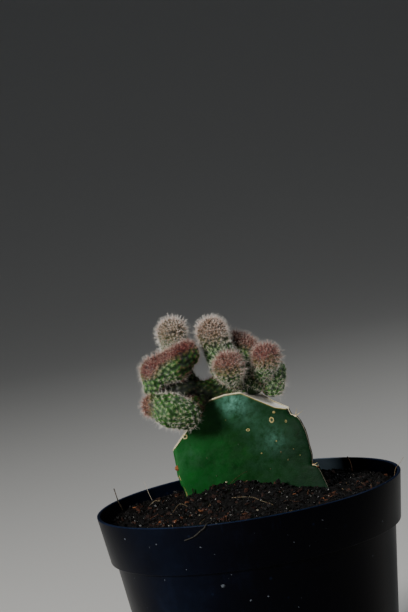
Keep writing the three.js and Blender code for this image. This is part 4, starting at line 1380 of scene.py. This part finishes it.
def spread(random, points, spacing, allowed):
    """Pick points at random, none nearer to another than the spacing there."""
    chosen = []
    for i in random.permutation(np.flatnonzero(allowed)):
        if not chosen or (np.linalg.norm(points[chosen] - points[i], axis=1) > spacing[i]).all():
            chosen.append(i)
    return np.array(chosen)


def spine_cluster(random, radials, centrals, reach, root, colouring):
    """The spines of one areole round an upright axis: a mesh, and how dark each of its vertices is."""
    work = bmesh.new()
    tone = work.verts.layers.float.new("tone")
    for k in range(radials + centrals):
        kind, count = (CENTRAL_SPINE, centrals) if k >= radials else (RADIAL_SPINE, radials)
        polar = math.radians(random.uniform(*kind[0]))
        turn = FULL_TURN * (k + random.uniform(-0.3, 0.3)) / count
        size = reach * random.uniform(*kind[1])
        lean = Quaternion(UP, turn) @ Quaternion((0, 1, 0), polar)
        cone = bmesh.ops.create_cone(work, cap_ends=True, segments=3, radius1=root, radius2=0.25 * root,
                                     depth=size)["verts"]
        at_root, at_tip = (random.uniform(*tones) * colouring for tones in kind[2:])
        for vert in cone:
            vert[tone] = at_root if vert.co.z < 0 else at_tip
        bmesh.ops.transform(work, verts=cone, matrix=Matrix.LocRotScale(
            lean @ Vector((0, 0, size / 2 - 0.15)), lean, None))
    tones = [vert[tone] for vert in work.verts]
    return closed("spine_cluster", work), tones


class OBJECT_OT_cactus_scion(bpy.types.Operator):
    """Grow the heads of the scion: knobbly flesh, with white and pink-brown spines on every areole"""

    bl_idname = "object.cactus_scion"
    bl_label = "Scion"

    def execute(self, context):
        settings = context.scene.cactus_scion
        random = np.random.default_rng(41)
        flesh, thorn = cactus_head_flesh(settings), cactus_spine(settings)
        spacing, reach, root = (value / MM for value in (
            settings.areole_spacing, settings.spine_length, settings.spine_radius))
        mature = [spine_cluster(random, 8 + k % 2, 1, reach, 0.66 * root, 0.75) for k in range(CLUSTER_KINDS)]
        fresh = [spine_cluster(random, 7, 3, reach, 0.95 * root, 0.95) for _ in range(CLUSTER_KINDS)]
        clusters = mature + fresh
        templates = [mesh for mesh, _ in clusters]
        for name in HEADS:
            work = head_skin(name)
            points = np.array([vert.co for vert in work.verts])
            _, normals = field_slope(name, points)
            normals /= np.linalg.norm(normals, axis=1)[:, None]
            others = [chain_distance(points, HEADS[other]) for other in HEADS if other != name]
            clear = stem_clearance(points)
            bare = off_spots(points, BARE_SPOTS)
            young = young_share(name, points)
            # Old brown tissue along the base, with painted shade at the spots listed
            old = np.clip(1.1 - chain_distance(points, HEADS["scion_base"]) / 1.6, 0, 1)
            for spot in PAINTED_SHADE_SPOTS:
                old = np.maximum(old, spot[4] * np.clip(1.3 - off_spots(points, [spot]), 0, 1))
            # The painted shade is full at the front and weaker behind
            old *= np.clip(1 - (points[:, 1] - 3) / 6, 0.45, 1)
            apart, darkness = HEAD_LOOKS.get(name, (1.0, 1.0))
            gaps = spacing * apart * (1 - YOUNG_CLOSER * young + OLD_AND_SHADED_FARTHER * old)
            over_bevel = (points[:, 0] > BEVEL_START) & (clear < BEVEL_CLEAR)
            free = (np.min(others, axis=0) > HEAD_CLEAR) & (clear > STEM_CLEAR) & (bare > 1) & ~over_bevel
            chosen = spread(random, points, gaps, free)
            near = np.min(np.linalg.norm(points[:, None] - points[chosen][None], axis=2), axis=1)
            relief = np.clip(1 - (near / (KNOB_REACH * gaps)) ** 2, -FURROW_DEPTH, 1)
            amount = KNOB_HEIGHT * (1 - YOUNG_FLATTER * young)
            for vert, normal, bulge in zip(work.verts, normals, relief * amount):
                vert.co += Vector(normal) * bulge
            redness = GROWING[name][2] if name in GROWING else 0.0
            felt = np.maximum(np.clip(1.2 - near / FELT_RADIUS, 0, 1), np.clip(1.6 - bare, 0, 0.8))
            add_piece(name + "_flesh", mesh_of(name + "_flesh", work), [flesh], "scion", [name],
                      young=young * redness, old=0.93 * old, relief=np.clip(relief, 0, 1), felt=felt)
            placed, tones = [], []
            for i in chosen:
                hanging = name == "scion_base" and points[i][0] > 0 and normals[i][1] < 0
                droop, longer = HANGING if hanging else DROOPING if name == "head_right" else (0.0, 1.0)
                kind = int(random.integers(CLUSTER_KINDS))
                kind += CLUSTER_KINDS if young[i] > random.uniform(0.1, 0.5) else 0
                out = (Vector(normals[i]) - droop * UP).normalized()
                turn = UP.rotation_difference(out) @ Quaternion(UP, random.uniform(0, FULL_TURN))
                size = random.uniform(0.85, 1.12) * longer
                base = Vector(points[i]) + Vector(normals[i]) * CLUSTER_LIFT
                placed.append((kind, Matrix.LocRotScale(base, turn, Vector.Fill(3, size))))
                depth = darkness * (0.5 + 0.5 * young[i] * redness)
                # The spines darken with the old tissue and the painted shade
                tones.append(np.array(clusters[kind][1]) * depth + (0.0 if hanging else 0.8 * old[i]))
            mesh = mesh_of(name + "_spines", scatter(templates, placed), smooth=False)
            add_piece(name + "_spines", mesh, [thorn], "scion", tone=np.concatenate(tones))
        return {"FINISHED"}


# Stage


# The paper lies flat from the front to the back and then sweeps up, all in metres
FLOOR_FRONT = -3.0
FLOOR_BACK = 1.6
FLOOR_WIDTH = 8.0
SWEEP_RADIUS = 6

# What the lights face, and how far from it they stand
LIT_PLACE = Vector((0, 0, 0.11))
LIGHT_DISTANCE = 1.2

# Soft square lights, as (name, degrees from the front, degrees up, side in metres, tint)
LIGHTS = (
    ("key", -38, 23, 0.24, (1, 0.98, 0.95)), ("fill", -85, 12, 0.8, (0.72, 0.86, 1)),
    ("rim", 95, 38, 0.35, (0.94, 0.97, 1)))


def aimed(yaw, pitch):
    """A direction to the back, turned to the right and tilted up."""
    return Vector((math.sin(yaw) * math.cos(pitch), math.cos(yaw) * math.cos(pitch), math.sin(pitch)))


class OBJECT_OT_cactus_stage(bpy.types.Operator):
    """Set up the pale paper floor, the soft lights and the photograph's camera"""

    bl_idname = "object.cactus_stage"
    bl_label = "Stage"

    def execute(self, context):
        scene = context.scene
        settings = scene.cactus_stage
        work = bmesh.new()
        sweep = [(FLOOR_FRONT, 0.0), (FLOOR_BACK, 0.0)]
        sweep += [(FLOOR_BACK + SWEEP_RADIUS * math.sin(turn), SWEEP_RADIUS * (1 - math.cos(turn)))
                  for turn in np.linspace(0.03, 1.5, 50)]
        verts = [work.verts.new((-FLOOR_WIDTH / 2 / MM, y / MM, z / MM)) for y, z in sweep]
        edges = [work.edges.new(pair) for pair in zip(verts, verts[1:])]
        made = bmesh.ops.extrude_edge_only(work, edges=edges)["geom"]
        fresh = [item for item in made if isinstance(item, bmesh.types.BMVert)]
        bmesh.ops.translate(work, vec=(FLOOR_WIDTH / MM, 0, 0), verts=fresh)
        bmesh.ops.recalc_face_normals(work, faces=work.faces)
        if sum(face.normal.z for face in work.faces) < 0:
            bmesh.ops.reverse_faces(work, faces=work.faces)
        floor = bpy.data.objects.new("paper_floor", mesh_of("paper_floor", work))
        floor.data.materials.append(seamless_paper(settings))
        scene.collection.objects.link(floor)

        world = bpy.data.worlds.new("studio_air")
        scene.world = world
        world.use_nodes = True
        tree = world.node_tree
        tree.nodes.clear()
        air = add_node(tree, "Background", {"Color": "#b9c4d2", "Strength": 0.05})
        add_node(tree, "OutputWorld", {"Surface": air})

        for name, azimuth, rise, size, tint in LIGHTS:
            aim = aimed(math.radians(-azimuth), math.radians(-rise))
            data = bpy.data.lights.new(name, "AREA")
            data.shape, data.size, data.color = "SQUARE", size, tint
            data.energy = getattr(settings, name + "_power")
            light = bpy.data.objects.new(name, data)
            light.location = LIT_PLACE - LIGHT_DISTANCE * aim
            light.rotation_euler = aim.to_track_quat("-Z", "Y").to_euler()
            light.visible_camera = False
            scene.collection.objects.link(light)

        data = bpy.data.cameras.new("photo_camera")
        data.lens = CAMERA_LENS
        data.clip_start, data.clip_end = 0.01, 20
        camera = bpy.data.objects.new("photo_camera", data)
        place = Vector((0, -CAMERA_DISTANCE * math.cos(CAMERA_RISE),
                        POT_HEIGHT + CAMERA_DISTANCE * math.sin(CAMERA_RISE))) * MM
        turn = aimed(CAMERA_YAW, CAMERA_PITCH).to_track_quat("-Z", "Y") @ Quaternion(UP, CAMERA_ROLL)
        camera.matrix_world = Matrix.LocRotScale(place, turn, None)
        scene.collection.objects.link(camera)
        scene.camera = camera
        return {"FINISHED"}


OPERATORS = (
    OBJECT_OT_cactus_pot, OBJECT_OT_cactus_splashes, OBJECT_OT_cactus_soil, OBJECT_OT_cactus_fibres,
    OBJECT_OT_cactus_rootstock, OBJECT_OT_cactus_scion, OBJECT_OT_cactus_stage)
SETTINGS = {
    "cactus_pot": PotSettings, "cactus_soil": SoilSettings, "cactus_rootstock": RootstockSettings,
    "cactus_scion": ScionSettings, "cactus_stage": StageSettings}


class VIEW3D_PT_cactus(bpy.types.Panel):
    """Settings and building steps of the potted cactus"""

    bl_idname = "VIEW3D_PT_cactus"
    bl_label = "Potted cactus"
    bl_space_type = "VIEW_3D"
    bl_region_type = "UI"
    bl_category = "Cactus"

    def draw(self, context):
        for operator in OPERATORS:
            self.layout.operator(operator.bl_idname)
        for name, group in SETTINGS.items():
            box = self.layout.box()
            for field in group.__annotations__:
                box.prop(getattr(context.scene, name), field)


def register():
    for group in SETTINGS.values():
        bpy.utils.register_class(group)
    for item in (*OPERATORS, VIEW3D_PT_cactus):
        bpy.utils.register_class(item)
    for name, group in SETTINGS.items():
        setattr(bpy.types.Scene, name, PointerProperty(type=group))


def unregister():
    for name in SETTINGS:
        delattr(bpy.types.Scene, name)
    for item in reversed((*SETTINGS.values(), *OPERATORS, VIEW3D_PT_cactus)):
        bpy.utils.unregister_class(item)


def main():
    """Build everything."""
    register()
    bpy.ops.object.cactus_pot()
    bpy.ops.object.cactus_splashes()
    bpy.ops.object.cactus_soil()
    bpy.ops.object.cactus_fibres()
    bpy.ops.object.cactus_rootstock()
    bpy.ops.object.cactus_scion()
    bpy.ops.object.cactus_stage()


if __name__ == "__main__":
    main()
